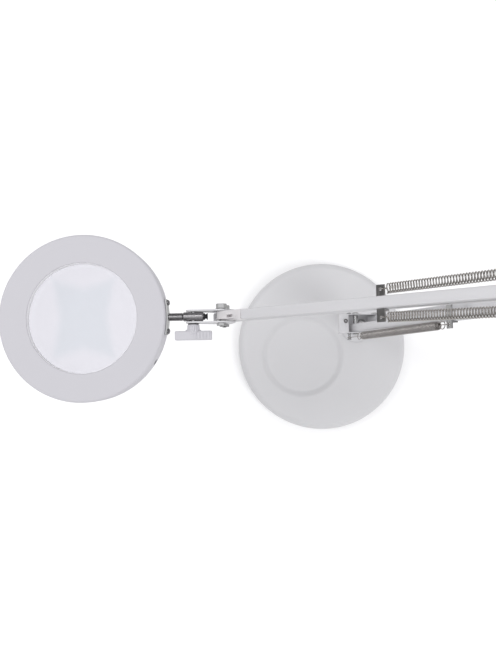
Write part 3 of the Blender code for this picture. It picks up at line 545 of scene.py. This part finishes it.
def clamp_parts():
    """The knob's stud, chamfered at its end, and the washer under the knob."""
    at, half = middle("clamp_stud"), half_size("clamp_stud").y
    stud = [(0.0, -half), (1.9, -half), (2.5, 0.7 - half), (2.5, half), (0.0, half)]
    piece("clamp_stud_shank", placed(turned(stud, SMALL), at, (0, 1, 0)), "zinc_steel", "wrist",
          ("clamp_stud",))
    at, half = middle("clamp_washer"), half_size("clamp_washer").y
    washer = [(2.8, -half), (5.6, -half, 0.15), (5.6, half, 0.15), (2.8, half)]
    piece("clamp_washer_ring", placed(turned(washer, ROUND, True), at, (0, 1, 0)), "dark_steel",
          "knob", ("clamp_washer",))


def spacer(node):
    half = half_size(node).y
    ring = [(3.7, -half), (5.2, -half, 0.3), (5.2, half, 0.3), (3.7, half)]
    bm = placed(turned(ring, SMALL, True), middle(node), (0, 1, 0))
    piece(f"{node}_tube", bm, "nylon", BODY_OF[node], (node,))


# ---------------------------------------------------------------- springs

# The two kinds of spring. wire is the wire's radius; anchor is the strap hole's distance along the
# bar; level is the coil's height above the bar's pivots; gaps run from the post and from the hole
# to the coil; closing is the length over which the coil narrows at each end.
LOWER_KIND = {"strap": "lower_spring_anchor", "look": "tight_wire", "wire": 0.52, "pitch": 1.08,
              "per_turn": 12, "anchor": 181.6, "level": 8.6, "gaps": (28.0, 12.0),
              "ringed": True, "eye": 1.8, "closing": 3.0}
UPPER_KIND = {"strap": "upper_spring_anchor", "look": "spring_wire", "wire": 0.62, "pitch": 2.5,
              "per_turn": 16, "anchor": 221.5, "level": 6.0, "gaps": (22.0, 6.5),
              "ringed": False, "eye": 2.2, "closing": 0.0}
# Common to both: the eye round a post, the post's groove, and where the other eye's middle stops.
POST_EYE = 2.3
GROOVE_BELOW_TIP = 3.1
EYE_SHORT_OF_HOLE = 1.7


def eye(out, drop, radius):
    """Most of a circle in the plane of the spring's axis and its upward side."""
    turns = [radians(180 - 36 * k) for k in range(9)]
    return [Vector((out + radius * cos(a), 0.0, drop + radius * sin(a))) for a in turns]


def wound_end(radius, out, drop, eye_radius, ringed):
    """From the last coil outward: a turned-up ring or a taper, then the hook's eye."""
    points = []
    if ringed:
        ring = 0.95 * radius
        centre = ring + 0.5
        for k, turn in enumerate((110, 70, 30, -10, -50, -90, -130, -165)):
            points.append(Vector((centre + ring * cos(radians(turn)),
                                  ring * sin(radians(turn)), 0.12 * k)))
        points.append(Vector((centre, 0.0, 1.5)))
        points.append(Vector((centre + ring + 0.3, 0.0, 1.0)))
    else:
        points = [Vector((0.7, 0.7 * radius, -0.6 * radius)), Vector((1.4, 0.1, -0.6 * radius)),
                  Vector((2.1, -0.4, -0.1))]
    reach = out - eye_radius
    last = points[-1].x
    if reach - last > 3.0:
        points.append(Vector((last + 2.0, 0.0, 0.1)))
        points.append(Vector((reach - 1.0, 0.0, drop * 0.6)))
    return points + eye(out, drop, eye_radius)


def spring_path(start, stop, up, radius, kind, ends):
    """The wire's path: the first end reversed, the coil, then the second end."""
    per_turn, closing = kind["per_turn"], kind["closing"]
    along = (stop - start).normalized()
    across = up.cross(along).normalized()
    upward = along.cross(across)
    length = (stop - start).length
    turns = round(length / kind["pitch"])

    def at(base, sign, point):
        return base + along * sign * point.x + across * point.y + upward * point.z

    coil = []
    for i in range(turns * per_turn + 1):
        share = i / (turns * per_turn)
        a = pi / 2 - tau * turns * share
        inset = min(share, 1 - share) * length
        wide = radius * min(1.0, 0.4 + 0.6 * inset / closing) if closing else radius
        coil.append(start + along * length * share + (across * sin(a) + upward * cos(a)) * wide)
    first = splined([coil[0], *[at(start, -1, point) for point in ends[0]]])
    last = splined([coil[-1], *[at(stop, 1, point) for point in ends[1]]])
    return first[::-1] + coil[1:-1] + last


def build_spring(node, post_node, outward, pivot, direction, normal, kind):
    """A spring from its post to a hole in the strap, made in place on no body."""
    post = middle(post_node)
    post.y += outward * (half_size(post_node).y - GROOVE_BELOW_TIP)
    strap = middle(kind["strap"])
    hole = pivot + direction * kind["anchor"] + normal * kind["level"]
    hole.y = strap.y + outward * (half_size(kind["strap"]).y - STRAP_BEYOND_HOLE)
    along = (hole - post).normalized()
    post_gap, hole_gap = kind["gaps"]
    start, stop = post + along * post_gap, hole - along * hole_gap
    radius = SPRING_RADIUS - kind["wire"]
    drop = STRAP_LEVEL - kind["level"]
    ends = (wound_end(radius, post_gap, 0.0, POST_EYE, kind["ringed"]),
            wound_end(radius, hole_gap - EYE_SHORT_OF_HOLE, drop, kind["eye"], kind["ringed"]))
    path = spring_path(start, stop, normal, radius, kind, ends)
    made = piece(f"{node}_coil", swept(path, kind["wire"], 7), kind["look"], None, (node,), pi)
    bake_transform(made)


def build_springs():
    lower = (PIVOT["elbow_level"] - PIVOT["lower_lift"]).normalized()
    lower_normal = Vector((-lower.z, 0, lower.x))
    upper = (PIVOT["wrist_level"] - PIVOT["upper_lift"]).normalized()
    upper_normal = Vector((upper.z, 0, -upper.x))
    for word, outward in (("near", -1), ("far", 1)):
        build_spring(f"lower_spring_{word}", f"shoulder_hook_{word}", outward,
                     PIVOT["lower_lift"], lower, lower_normal, LOWER_KIND)
        build_spring(f"upper_spring_{word}", f"elbow_hook_{word}", outward,
                     PIVOT["upper_bottom_link"], upper, upper_normal, UPPER_KIND)


# ---------------------------------------------------------------- base

def build_base():
    cover = base_cover()
    post = PIVOT["base_swivel"]
    hole, above = 8.0, 40.0
    drill = turned([(0, 0), (hole, 0), (hole, above), (0, above)], ROUND)
    reworked(cover, placed(drill, (post.x, post.y, 0)))
    low, high = low_high("base_pad")
    pad = [(0, high.z), (high.x - 0.2, high.z, 0.3), (high.x, (high.z + low.z) / 2, 0.6),
           (high.x - 0.3, low.z, 0.3), (0, low.z)]
    piece("base_pad_disc", turned(pad, FINE), "foam_rubber", "base", ("base_pad",))
    finished("base_weight", "cast_iron", 0.6)
    finished("socket_nut", "zinc_steel")
    build_post(post)


def base_cover():
    """The pressed cover: a dish off the axis, a rounded edge, and the same again inside."""
    low, high = low_high("base_cover")
    radius, top, skirt = high.x, high.z, low.z
    edge, rim, inner, under_rim, under_inner = 9.0, 57.0, 46.5, 60.0, 47.0
    shoulder = radius - edge
    tray = next(mount for mount in frame["record"]["mounts"] if mount["name"] == "tray_floor")
    tray_x, tray_y, floor = Vector(tray["pos_m"]) / MM

    def round_edge(curve, angles):
        return [(0, 0, shoulder + curve * cos(radians(up)), top - edge + curve * sin(radians(up)))
                for up in angles]

    rings = [(tray_x, tray_y, 0.0, floor), (tray_x, tray_y, inner * 0.5, floor)]
    steps = 14
    for i in range(steps + 1):
        share = i / steps
        rise = (1 - cos(pi * share)) / 2
        rings.append((tray_x, tray_y, inner + (rim - inner) * share, floor + (top - floor) * rise))
    for share in (0.35, 0.7, 1.0):
        rings.append((tray_x * (1 - share), tray_y * (1 - share),
                      rim + 1.0 + (shoulder - rim - 1.0) * share, top))
    rings += round_edge(edge, [90 - 7.5 * i for i in range(1, 13)])
    rings += [(0, 0, radius, skirt + 0.4), (0, 0, radius - 0.3, skirt),
              (0, 0, radius - COVER_WALL, skirt)]
    rings += round_edge(edge - COVER_WALL, [11.25 * i for i in range(9)])
    for share in (0.5, 1.0):
        rings.append((tray_x * share, tray_y * share, shoulder - (shoulder - under_rim) * share,
                      top - COVER_WALL))
    rings += [(tray_x, tray_y, under_inner, floor - COVER_WALL),
              (tray_x, tray_y, 0.0, floor - COVER_WALL)]
    return piece("base_cover_shell", stacked(rings, LARGE), "base_coat", "base", ("base_cover",),
                 pi / 3)


def build_post(post):
    """The fixed tube, the bush in its mouth and the pin that turns in them."""
    low, high = low_high("post_socket")
    flange = low_high("base_cover")[1].z + 0.3
    foot, bore, wire_bore, spigot = 19.5, 7.3, 6.1, 7.7
    socket = [(bore, high.z, 0.3), (TUBE_RADIUS, high.z, 1.5), (TUBE_RADIUS, flange + 7.5, 4.0),
              (foot, flange + 2.6, 1.6), (foot, flange, 0.2), (spigot, flange), (spigot, low.z),
              (wire_bore, low.z), (wire_bore, flange + 3), (bore, flange + 3)]
    piece("post_socket_turned", placed(turned(socket, FINE, True, 8), (post.x, post.y, 0)),
          "painted_frame", "base", ("post_socket",))
    low, high = low_high("swivel_bush")
    outer, inner, rim = 7.0, 6.2, high.z - 1.7
    bush = [(inner, high.z, 0.2), (TUBE_RADIUS, high.z, 0.5), (TUBE_RADIUS, rim, 0.2),
            (outer, rim), (outer, low.z), (inner, low.z)]
    piece("swivel_bush_turned", placed(turned(bush, FINE, True), (post.x, post.y, 0)), "nylon",
          "base", ("swivel_bush",))
    low, high = low_high("shoulder_pin")
    web = low_high("shoulder_bracket")[0].z
    collar, under = web - 0.3, web - 2.2
    pin = [(0.0, high.z), (4.6, high.z, 0.6), (7.0, web + 2.0, 0.5), (7.0, web + 1.9),
           (4.2, web + 1.9), (4.2, collar), (9.5, collar, 0.3), (9.5, under, 0.3),
           (5.9, under), (5.9, low.z + 1.5), (4.4, low.z), (0.0, low.z)]
    piece("shoulder_pin_turned", placed(turned(pin, ROUND), (post.x, post.y, 0)), "zinc_steel",
          "shoulder", ("shoulder_pin",))


# ---------------------------------------------------------------- arm

def boxed(low, high):
    """A box between two corners."""
    bm = bmesh.new()
    for vert in bmesh.ops.create_cube(bm, size=1.0)["verts"]:
        vert.co = Vector([low[k] if vert.co[k] < 0 else high[k] for k in range(3)])
    return bm


def build_plug():
    """The end plug, with a shadow gap at its collar and beside each fork plate."""
    plug = finished("arm_end_plug", "plug_grey", 0.35)
    bolt = middle("fork_bolt_upper")
    groove = half_size("arm_end_plug").y - 0.9
    along = (PIVOT["upper_lift"] - PIVOT["wrist_level"]).normalized()
    tilt = along.to_track_quat("X", "Z").to_matrix().to_4x4()
    first, collar, last = -9.0, 19.3, 20.2
    floor, far, top = 1.8, 20.0, 9.0
    for low, high in (((collar, -far, 3.4), (last, far, top)),
                      ((first, groove, floor), (last, far, top)),
                      ((first, -far, floor), (last, -groove, top))):
        gap = boxed(low, high)
        bmesh.ops.transform(gap, matrix=Matrix.Translation((bolt.x, 0, bolt.z)) @ tilt,
                            verts=gap.verts)
        reworked(plug, gap)


def build_arm():
    for node in ("lower_arm_front", "lower_arm_rear", "upper_arm_top", "upper_arm_bottom"):
        finished(node, "painted_frame", 0.35, radians(60))
    build_plug()
    for node in ("shoulder_bracket", "elbow_plate_near", "elbow_plate_far", "fork_plate_near",
                 "fork_plate_far"):
        finished(node, "painted_frame", 0.35)
    finished("lower_spring_anchor", "zinc_steel", 0.25)
    finished("upper_spring_anchor", "strap_steel", 0.25)


# ---------------------------------------------------------------- wing knob

def ribbed_hub(rows, flutes):
    """A hub with rounded ribs along it, from rows of (height, radius, rib height)."""
    bm = bmesh.new()
    segments = flutes * 8
    loops = []
    for height, radius, ribbing in rows:
        loop = []
        for i in range(segments):
            a = tau * i / segments
            reach = radius + ribbing * (0.5 + 0.5 * cos(flutes * a)) - ribbing
            loop.append(bm.verts.new((reach * cos(a), reach * sin(a), height)))
        loops.append(loop)
    for first, second in zip(loops, loops[1:]):
        skin(bm, first, second)
    bm.faces.new(loops[0][::-1])
    bm.faces.new(loops[-1])
    return bm


def block(size, centre, edge, segments=2):
    """A box round a centre, with its edges rounded."""
    bm = bmesh.new()
    bmesh.ops.create_cube(bm, size=1.0)
    bmesh.ops.scale(bm, vec=size, verts=bm.verts)
    bmesh.ops.translate(bm, vec=centre, verts=bm.verts)
    return bevelled(bm, edge, segments=segments)


def build_knob():
    """A ribbed hub with a flat wing, a gusset under each half of it and ribs on one half."""
    at = PIVOT["head_tilt"]
    low, high = low_high("clamp_knob")
    start, end = at.y - high.y, at.y - low.y
    shoulder = end - 9.4
    hub, thick = 6.3, 4.0
    wing = end - shoulder
    wing_centre = (end + shoulder) / 2
    rows = [(start, hub - 0.7, 0.0), (start + 0.8, hub, 0.0), (start + 1.6, hub, 0.7),
            (shoulder - 0.2, hub, 0.7), (shoulder + 0.6, hub - 0.2, 0.4),
            (shoulder + 3.0, hub - 1.2, 0.0)]
    knob = piece("clamp_knob_wing", placed(ribbed_hub(rows, 18), at, (0, -1, 0)),
                 "moulded_white", "knob", ("clamp_knob",))

    added = [block((high.x - low.x, 2 * thick, wing), (0, 0, wing_centre), 1.2, 4)]
    for side in (-1, 1):
        web = [(side * (hub - 1.0), shoulder - 3.5), (side * (hub + 0.2), shoulder - 1.6),
               (side * (hub + 1.6), shoulder - 0.3), (side * (hub + 4.0), shoulder + 1.0),
               (side * (hub - 1.0), shoulder + 1.0)]
        gusset = extruded(web, -2.2, 2.2)
        bmesh.ops.rotate(gusset, cent=(0, 0, 0), matrix=Matrix.Rotation(pi / 2, 3, "X"),
                         verts=gusset.verts)
        added.append(gusset)
    first_rib, rib_step, rib_width = 2.0, 3.4, 2.3
    for i in range(5):
        added.append(block((rib_width, 2 * thick + 1.0, wing - 1.6),
                           (first_rib + rib_step * i, 0, wing_centre), 0.25))
    for bm in added:
        reworked(knob, placed(bm, at, (0, -1, 0)), "UNION")
    blind = start + 12.5
    bore = turned([(0, start - 1), (BORE_RADIUS, start - 1), (BORE_RADIUS, blind), (0, blind)],
                  SMALL)
    reworked(knob, placed(bore, at, (0, -1, 0)))


# ---------------------------------------------------------------- barrel and stem

def build_barrel():
    """The cross-bored barrel that the knob clamps, and the flared rivet in its end."""
    tilt = PIVOT["head_tilt"]
    half, radius = half_size("tilt_barrel").x, half_size("tilt_barrel").z
    barrel = [(2.7, -half), (radius - 1.0, -half, 0.15), (radius, 1.0 - half, 0.2),
              (radius, half - 1.0, 0.2), (radius - 1.0, half, 0.15), (2.7, half)]
    made = piece("tilt_barrel_turned", placed(turned(barrel, ROUND, True), tilt, (1, 0, 0)),
                 "nickel_steel", "barrel", ("tilt_barrel",))
    bore = turned([(0, -20), (BORE_RADIUS, -20), (BORE_RADIUS, 20), (0, 20)], SMALL)
    reworked(made, placed(bore, tilt, (0, 1, 0)))
    face = half + 0.3
    flared = [(0, 3.9), (2.4, 3.9, 0.2), (2.4, face), (3.6, face, 0.2), (3.6, face + 0.6, 0.2),
              (1.9, face + 1.9, 0.6), (3.5, face + 3.3, 0.2), (3.5, face + 3.8, 0.2),
              (1.4, face + 3.8, 0.3), (1.1, face + 3.2, 0.3), (0, face + 3.2)]
    piece("barrel_rivet_turned", placed(turned(flared, ROUND), tilt, (1, 0, 0)), "dark_steel",
          "barrel", ("barrel_rivet",))


def build_stem(centre):
    """The stem between the head and the barrel, with fine rings round its sleeve."""
    reach = PIVOT["head_tilt"].x - centre.x
    gap = half_size("head_shell_top").x + 0.3
    start, stop = gap + 2.1, reach - half_size("tilt_barrel").x - 0.3
    core, sleeve, waist = 2.4, 4.05, 3.8
    first, last = start + 0.8, stop - 1.6
    count = 18
    step = (last - first) / count
    ribs = []
    for i in range(count):
        at = first + (last - first) * i / count
        ribs += [(sleeve, at), (sleeve, at + 0.45 * step), (waist, at + 0.6 * step),
                 (waist, at + 0.9 * step)]
    stem = [(0, gap - 2.2), (4.0, gap - 2.0), (3.4, gap - 0.5), (core, gap - 0.5), (core, start),
            (sleeve, start), *ribs, (4.2, last, 0.1), (4.2, stop - 0.5, 0.2), (3.7, stop, 0.1),
            (core, stop), (core, reach - 3.6), (0, reach - 3.6)]
    piece("head_stem_turned", placed(turned(stem, ROUND), centre, (1, 0, 0)), "nickel_steel",
          "head", ("head_stem",))


# ---------------------------------------------------------------- head

def build_shells(centre):
    """The upper moulding with its opening and inner tube, a near-white lining that paints light onto the opening's
    shaded wall, and the lower one.
    """
    low, high = low_high("head_shell_top")
    radius, top = (high.x - low.x) / 2, high.z - centre.z
    low, high = low_high("head_shell_bottom")
    bottom, split = low.z - centre.z, high.z - centre.z + 0.3
    inside, roof = radius - SHELL_WALL, top - SHELL_WALL
    opening, lip = 56.4, 58.2
    tube_in, tube_out, tube_low = 60.6, 62.2, bottom + 2.2
    step = 2.6
    upper = [(opening, top - 0.6, 0.3), (opening + 0.6, top, 0.4), (radius, top, 3.0),
             (radius, split + 0.4, 0.3), (radius - 0.4, split, 0.2), (inside, split),
             (inside, roof, 0.8), (tube_out, roof, 0.4), (tube_out, tube_low), (tube_in, tube_low),
             (tube_in, roof), (lip, roof), (lip, step), (opening, step, 0.3)]
    piece("head_shell_top_moulding", placed(turned(upper, LARGE, True, 8), centre),
          "moulded_white", "head", ("head_shell_top",))
    # The lining's near-white colour is painted light on the opening's wall, which the head's walls shade.
    front, back = opening - 0.35, opening - 0.05
    lining = [(front, step + 0.4, 0.15), (back, step + 0.4), (back, top - 0.8),
              (front, top - 0.8, 0.15)]
    piece("opening_painted_light_lining", placed(turned(lining, LARGE, True), centre), "painted_light_white", "head")
    flange = half_size("diffuser_ring").x - 2.3
    ledge = bottom + 1.8
    under = [(inside, split - 0.3), (radius - 0.4, split - 0.3, 0.2), (radius, split - 0.7, 0.3),
             (radius, bottom, 2.4), (flange, bottom, 0.3), (flange, ledge), (inside, ledge)]
    shell = piece("head_shell_bottom_moulding", placed(turned(under, LARGE, True, 8), centre),
                  "moulded_white", "head", ("head_shell_bottom",))
    jack = middle("power_socket") - centre
    outward = Vector((jack.x, jack.y, 0)).normalized()
    jack_hole, first, last = 3.5, 76.0, 96.0
    drill = turned([(0, first), (jack_hole, first), (jack_hole, last), (0, last)], SMALL)
    reworked(shell, placed(drill, centre + Vector((0, 0, jack.z)), outward))
    at = middle("switch_button")
    button_hole, first, last = 2.7, -20.0, -8.0
    drill = turned([(0, first), (button_hole, first), (button_hole, last), (0, last)], SMALL)
    reworked(shell, placed(drill, (at.x, at.y, centre.z)))


def build_lens(centre):
    """The biconvex lens, each face a part of a sphere, and the ring that holds it."""
    half = half_size("magnifier_lens")
    radius, edge = half.x, 1.0
    sag = half.z - edge
    curve = (radius ** 2 + sag ** 2) / (2 * sag)
    rings = 24
    face = []
    for i in range(rings + 1):
        reach = radius * i / rings
        face.append((reach, edge + sqrt(curve ** 2 - reach ** 2) - curve + sag))
    back = [(reach, -height) for reach, height in face[::-1]]
    piece("magnifier_lens_ground", placed(turned(face + back, 160), centre), "lens_glass",
          "head", ("magnifier_lens",), radians(70))
    low, high = low_high("lens_ring")
    outer, top, bottom = (high.x - low.x) / 2, high.z - centre.z, low.z - centre.z
    ring = [(57.2, top - 0.4, 0.3), (outer, top, 0.2), (outer, bottom, 0.4),
            (58.0, bottom, 0.5)]
    piece("lens_ring_moulding", placed(turned(ring, FINE, True), centre), "moulded_white",
          "head", ("lens_ring",))


def build_light(centre):
    """The board with its ring of lamps, and the diffuser below them."""
    low, high = low_high("led_board")
    inner, outer, top, bottom = 64.0, (high.x - low.x) / 2, high.z, low.z
    board = [(inner, top), (outer, top, 0.2), (outer, bottom, 0.2), (inner, bottom)]
    at = Vector((centre.x, centre.y, 0))
    piece("led_board_disc", placed(turned(board, FINE, True), at), "circuit_board", "head",
          ("led_board",))
    chips = bmesh.new()
    domes = bmesh.new()
    count, ring_radius = 40, 72.5
    for i in range(count):
        turn = Matrix.Rotation(tau * i / count, 4, "Z")
        place = Matrix.Translation(at) @ turn @ Matrix.Translation((ring_radius, 0, bottom - 0.75))
        for bm, size, drop in ((chips, (2.8, 3.5, 0.9), 0.0), (domes, (2.0, 2.6, 0.2), 0.62)):
            for vert in bmesh.ops.create_cube(bm, size=1.0)["verts"]:
                local = Vector([vert.co[k] * size[k] for k in range(3)])
                vert.co = place @ (local - Vector((0, 0, drop)))
    piece("led_chips", bevelled(chips, 0.15, segments=1), "nylon", "head")
    piece("led_phosphor_pads", domes, "led_phosphor", "head")

    low, high = low_high("diffuser_ring")
    lip = (high.x - low.x) / 2
    inner, inset, step = 62.6, lip - 2.7, high.z - 1.5
    ring = [(inner, high.z, 0.2), (lip, high.z, 0.2), (lip, step), (inset, step),
            (inset, low.z, 0.5), (inner, low.z, 0.3)]
    piece("diffuser_ring_moulding", placed(turned(ring, FINE, True), at), "opal_plastic",
          "head", ("diffuser_ring",))


def build_head():
    centre = middle("magnifier_lens")
    build_shells(centre)
    build_lens(centre)
    build_light(centre)
    build_barrel()
    build_stem(centre)
    finished("head_plate", "zinc_steel", 0.3, radians(25))
    seat = half_size("head_shell_top").x + 2.4
    for node in ("head_screw_near", "head_screw_far"):
        at = middle(node) - centre
        axis = Vector((at.x, at.y, 0)).normalized()
        place = centre + axis * seat + Vector((0, 0, at.z))
        pan_screw(node, place, axis, 3.2, 1.5, 8.0, "nickel_steel")
    finished("power_socket", "black_plastic", 0.2)
    at = middle("switch_button")
    low, high = low_high("switch_button")
    cap = [(0, low.z), (1.9, low.z, 0.5), (2.4, low.z + 0.9, 0.3), (2.4, high.z), (0, high.z)]
    piece("switch_button_cap", placed(turned(cap, ROUND), (at.x, at.y, 0)), "black_plastic",
          "switch", ("switch_button",))


# ---------------------------------------------------------------- studio

def mirrored_ray(tree, path):
    """An output that is 1 for a ray that a polished surface mirrors and 0 for any other."""
    both = tree.nodes.new("ShaderNodeMath")
    both.operation = "MULTIPLY"
    tree.links.new(path.outputs["Is Glossy Ray"], both.inputs[0])
    tree.links.new(path.outputs["Is Reflection Ray"], both.inputs[1])
    return both.outputs["Value"]


def dimmed_in_reflections(made, tone):
    """Let polished metal see a darker floor than the eye does, so that it keeps its edges."""
    nodes, links = made.node_tree.nodes, made.node_tree.links
    path = nodes.new("ShaderNodeLightPath")
    dim = nodes.new("ShaderNodeEmission")
    dim.inputs["Color"].default_value = (*tone, 1.0)
    mix = nodes.new("ShaderNodeMixShader")
    links.new(mirrored_ray(made.node_tree, path), mix.inputs["Fac"])
    links.new(nodes["Principled BSDF"].outputs["BSDF"], mix.inputs[1])
    links.new(dim.outputs["Emission"], mix.inputs[2])
    links.new(mix.outputs["Shader"], nodes["Material Output"].inputs["Surface"])


def build_floor():
    bm = bmesh.new()
    bmesh.ops.create_grid(bm, x_segments=1, y_segments=1, size=4.0 / MM)
    floor = piece("floor", bm, "painted_frame", None)
    made = look("studio_floor", (0.92, 0.92, 0.92), 0.9, vary=0.004, patch=2.0, grain=300.0,
                depth=0.0)
    shader = made.node_tree.nodes["Principled BSDF"]
    shader.inputs["Emission Color"].default_value = (1, 1, 1, 1)
    shader.inputs["Emission Strength"].default_value = 0.1
    dimmed_in_reflections(made, (0.6, 0.6, 0.6))
    floor.data.materials[0] = made


def area_light(name, place, target, size, power):
    """A white panel of (width, depth) metres that faces a target."""
    light = bpy.data.lights.new(name, "AREA")
    light.shape = "RECTANGLE"
    light.size, light.size_y = size
    light.energy = power
    made = bpy.data.objects.new(name, light)
    bpy.context.scene.collection.objects.link(made)
    made.location = place
    aim = Vector(target) - Vector(place)
    made.rotation_euler = aim.to_track_quat("-Z", "Y").to_euler()
    return made


def build_world():
    """White to the eye; for the light and the reflections, bright overhead and dim low down."""
    world = bpy.data.worlds.new("studio")
    bpy.context.scene.world = world
    world.use_nodes = True
    nodes, links = world.node_tree.nodes, world.node_tree.links
    backdrop = nodes["Background"]
    place = nodes.new("ShaderNodeTexCoord")
    split = nodes.new("ShaderNodeSeparateXYZ")
    links.new(place.outputs["Generated"], split.inputs["Vector"])

    def ramp(stops):
        made = nodes.new("ShaderNodeValToRGB")
        elements = made.color_ramp.elements
        while len(elements) < len(stops):
            elements.new(0.5)
        for element, (height, level) in zip(elements, stops):
            element.position = height
            element.color = (level, level, level * 1.02, 1)
        links.new(split.outputs["Z"], made.inputs["Fac"])
        return made.outputs["Color"]

    def mixed(condition, otherwise, when):
        mix = nodes.new("ShaderNodeMix")
        mix.data_type = "RGBA"
        links.new(condition, mix.inputs["Factor"])
        links.new(otherwise, mix.inputs[MIX_A])
        links.new(when, mix.inputs[MIX_B])
        return mix.outputs[MIXED]

    path = nodes.new("ShaderNodeLightPath")
    soft = ramp(((0.0, 0.7), (0.6, 1.0)))
    contrasty = ramp(((0.0, 0.06), (0.5, 0.26), (0.85, 0.45), (0.96, 1.1)))
    plain = nodes.new("ShaderNodeRGB")
    plain.outputs["Color"].default_value = (1.3, 1.3, 1.3, 1)
    lit = mixed(mirrored_ray(world.node_tree, path), soft, contrasty)
    seen = mixed(path.outputs["Is Camera Ray"], lit, plain.outputs["Color"])
    links.new(seen, backdrop.inputs["Color"])
    backdrop.inputs["Strength"].default_value = 0.8


def build_camera():
    """Looks almost straight down from above the arm."""
    lens, place = 37.47, Vector((-0.0630, -0.0337, 0.9541))
    pitch, sway, roll = radians(-3.30), radians(-2.21), radians(0.95)
    view = bpy.data.cameras.new("camera")
    view.sensor_width = 36.0
    view.lens = lens
    view.clip_start = 0.01
    camera = bpy.data.objects.new("camera", view)
    bpy.context.scene.collection.objects.link(camera)
    world_to_view = (Matrix.Rotation(roll, 3, "Z") @ Matrix.Rotation(pitch, 3, "X")
                     @ Matrix.Rotation(sway, 3, "Y"))
    camera.matrix_world = Matrix.Translation(place) @ world_to_view.transposed().to_4x4()
    bpy.context.scene.camera = camera


def build_lights():
    """Two soft panels, and a long strip that shows only in polished pieces, the lens left out."""
    key = area_light("key", (1.8, -1.4, 2.2), (0.0, 0.0, 0.1), (1.4, 1.4), 28.0)
    fill = area_light("fill", (-2.0, 0.6, 1.9), (-0.05, 0.0, 0.3), (1.2, 1.2), 22.0)
    for soft in (key, fill):
        soft.visible_glossy = False
        soft.visible_transmission = False
    strip = area_light("strip", (-0.30, 0.48, 1.45), (-0.1456, 0.0, 0.254), (0.9, 0.14), 1.1)
    strip.visible_diffuse = False
    strip.visible_transmission = False
    strip.data.use_shadow = False
    unlit = bpy.data.collections.new("beyond_the_strip")
    unlit.objects.link(bpy.data.objects["magnifier_lens_ground"])
    unlit.collection_objects[0].light_linking.link_state = "EXCLUDE"
    strip.light_linking.receiver_collection = unlit


def build_studio():
    bpy.context.scene.view_settings.view_transform = "Standard"
    build_floor()
    build_world()
    build_camera()
    build_lights()


build_base()
build_arm()
build_hardware()
build_springs()
build_knob()
build_head()
build_studio()
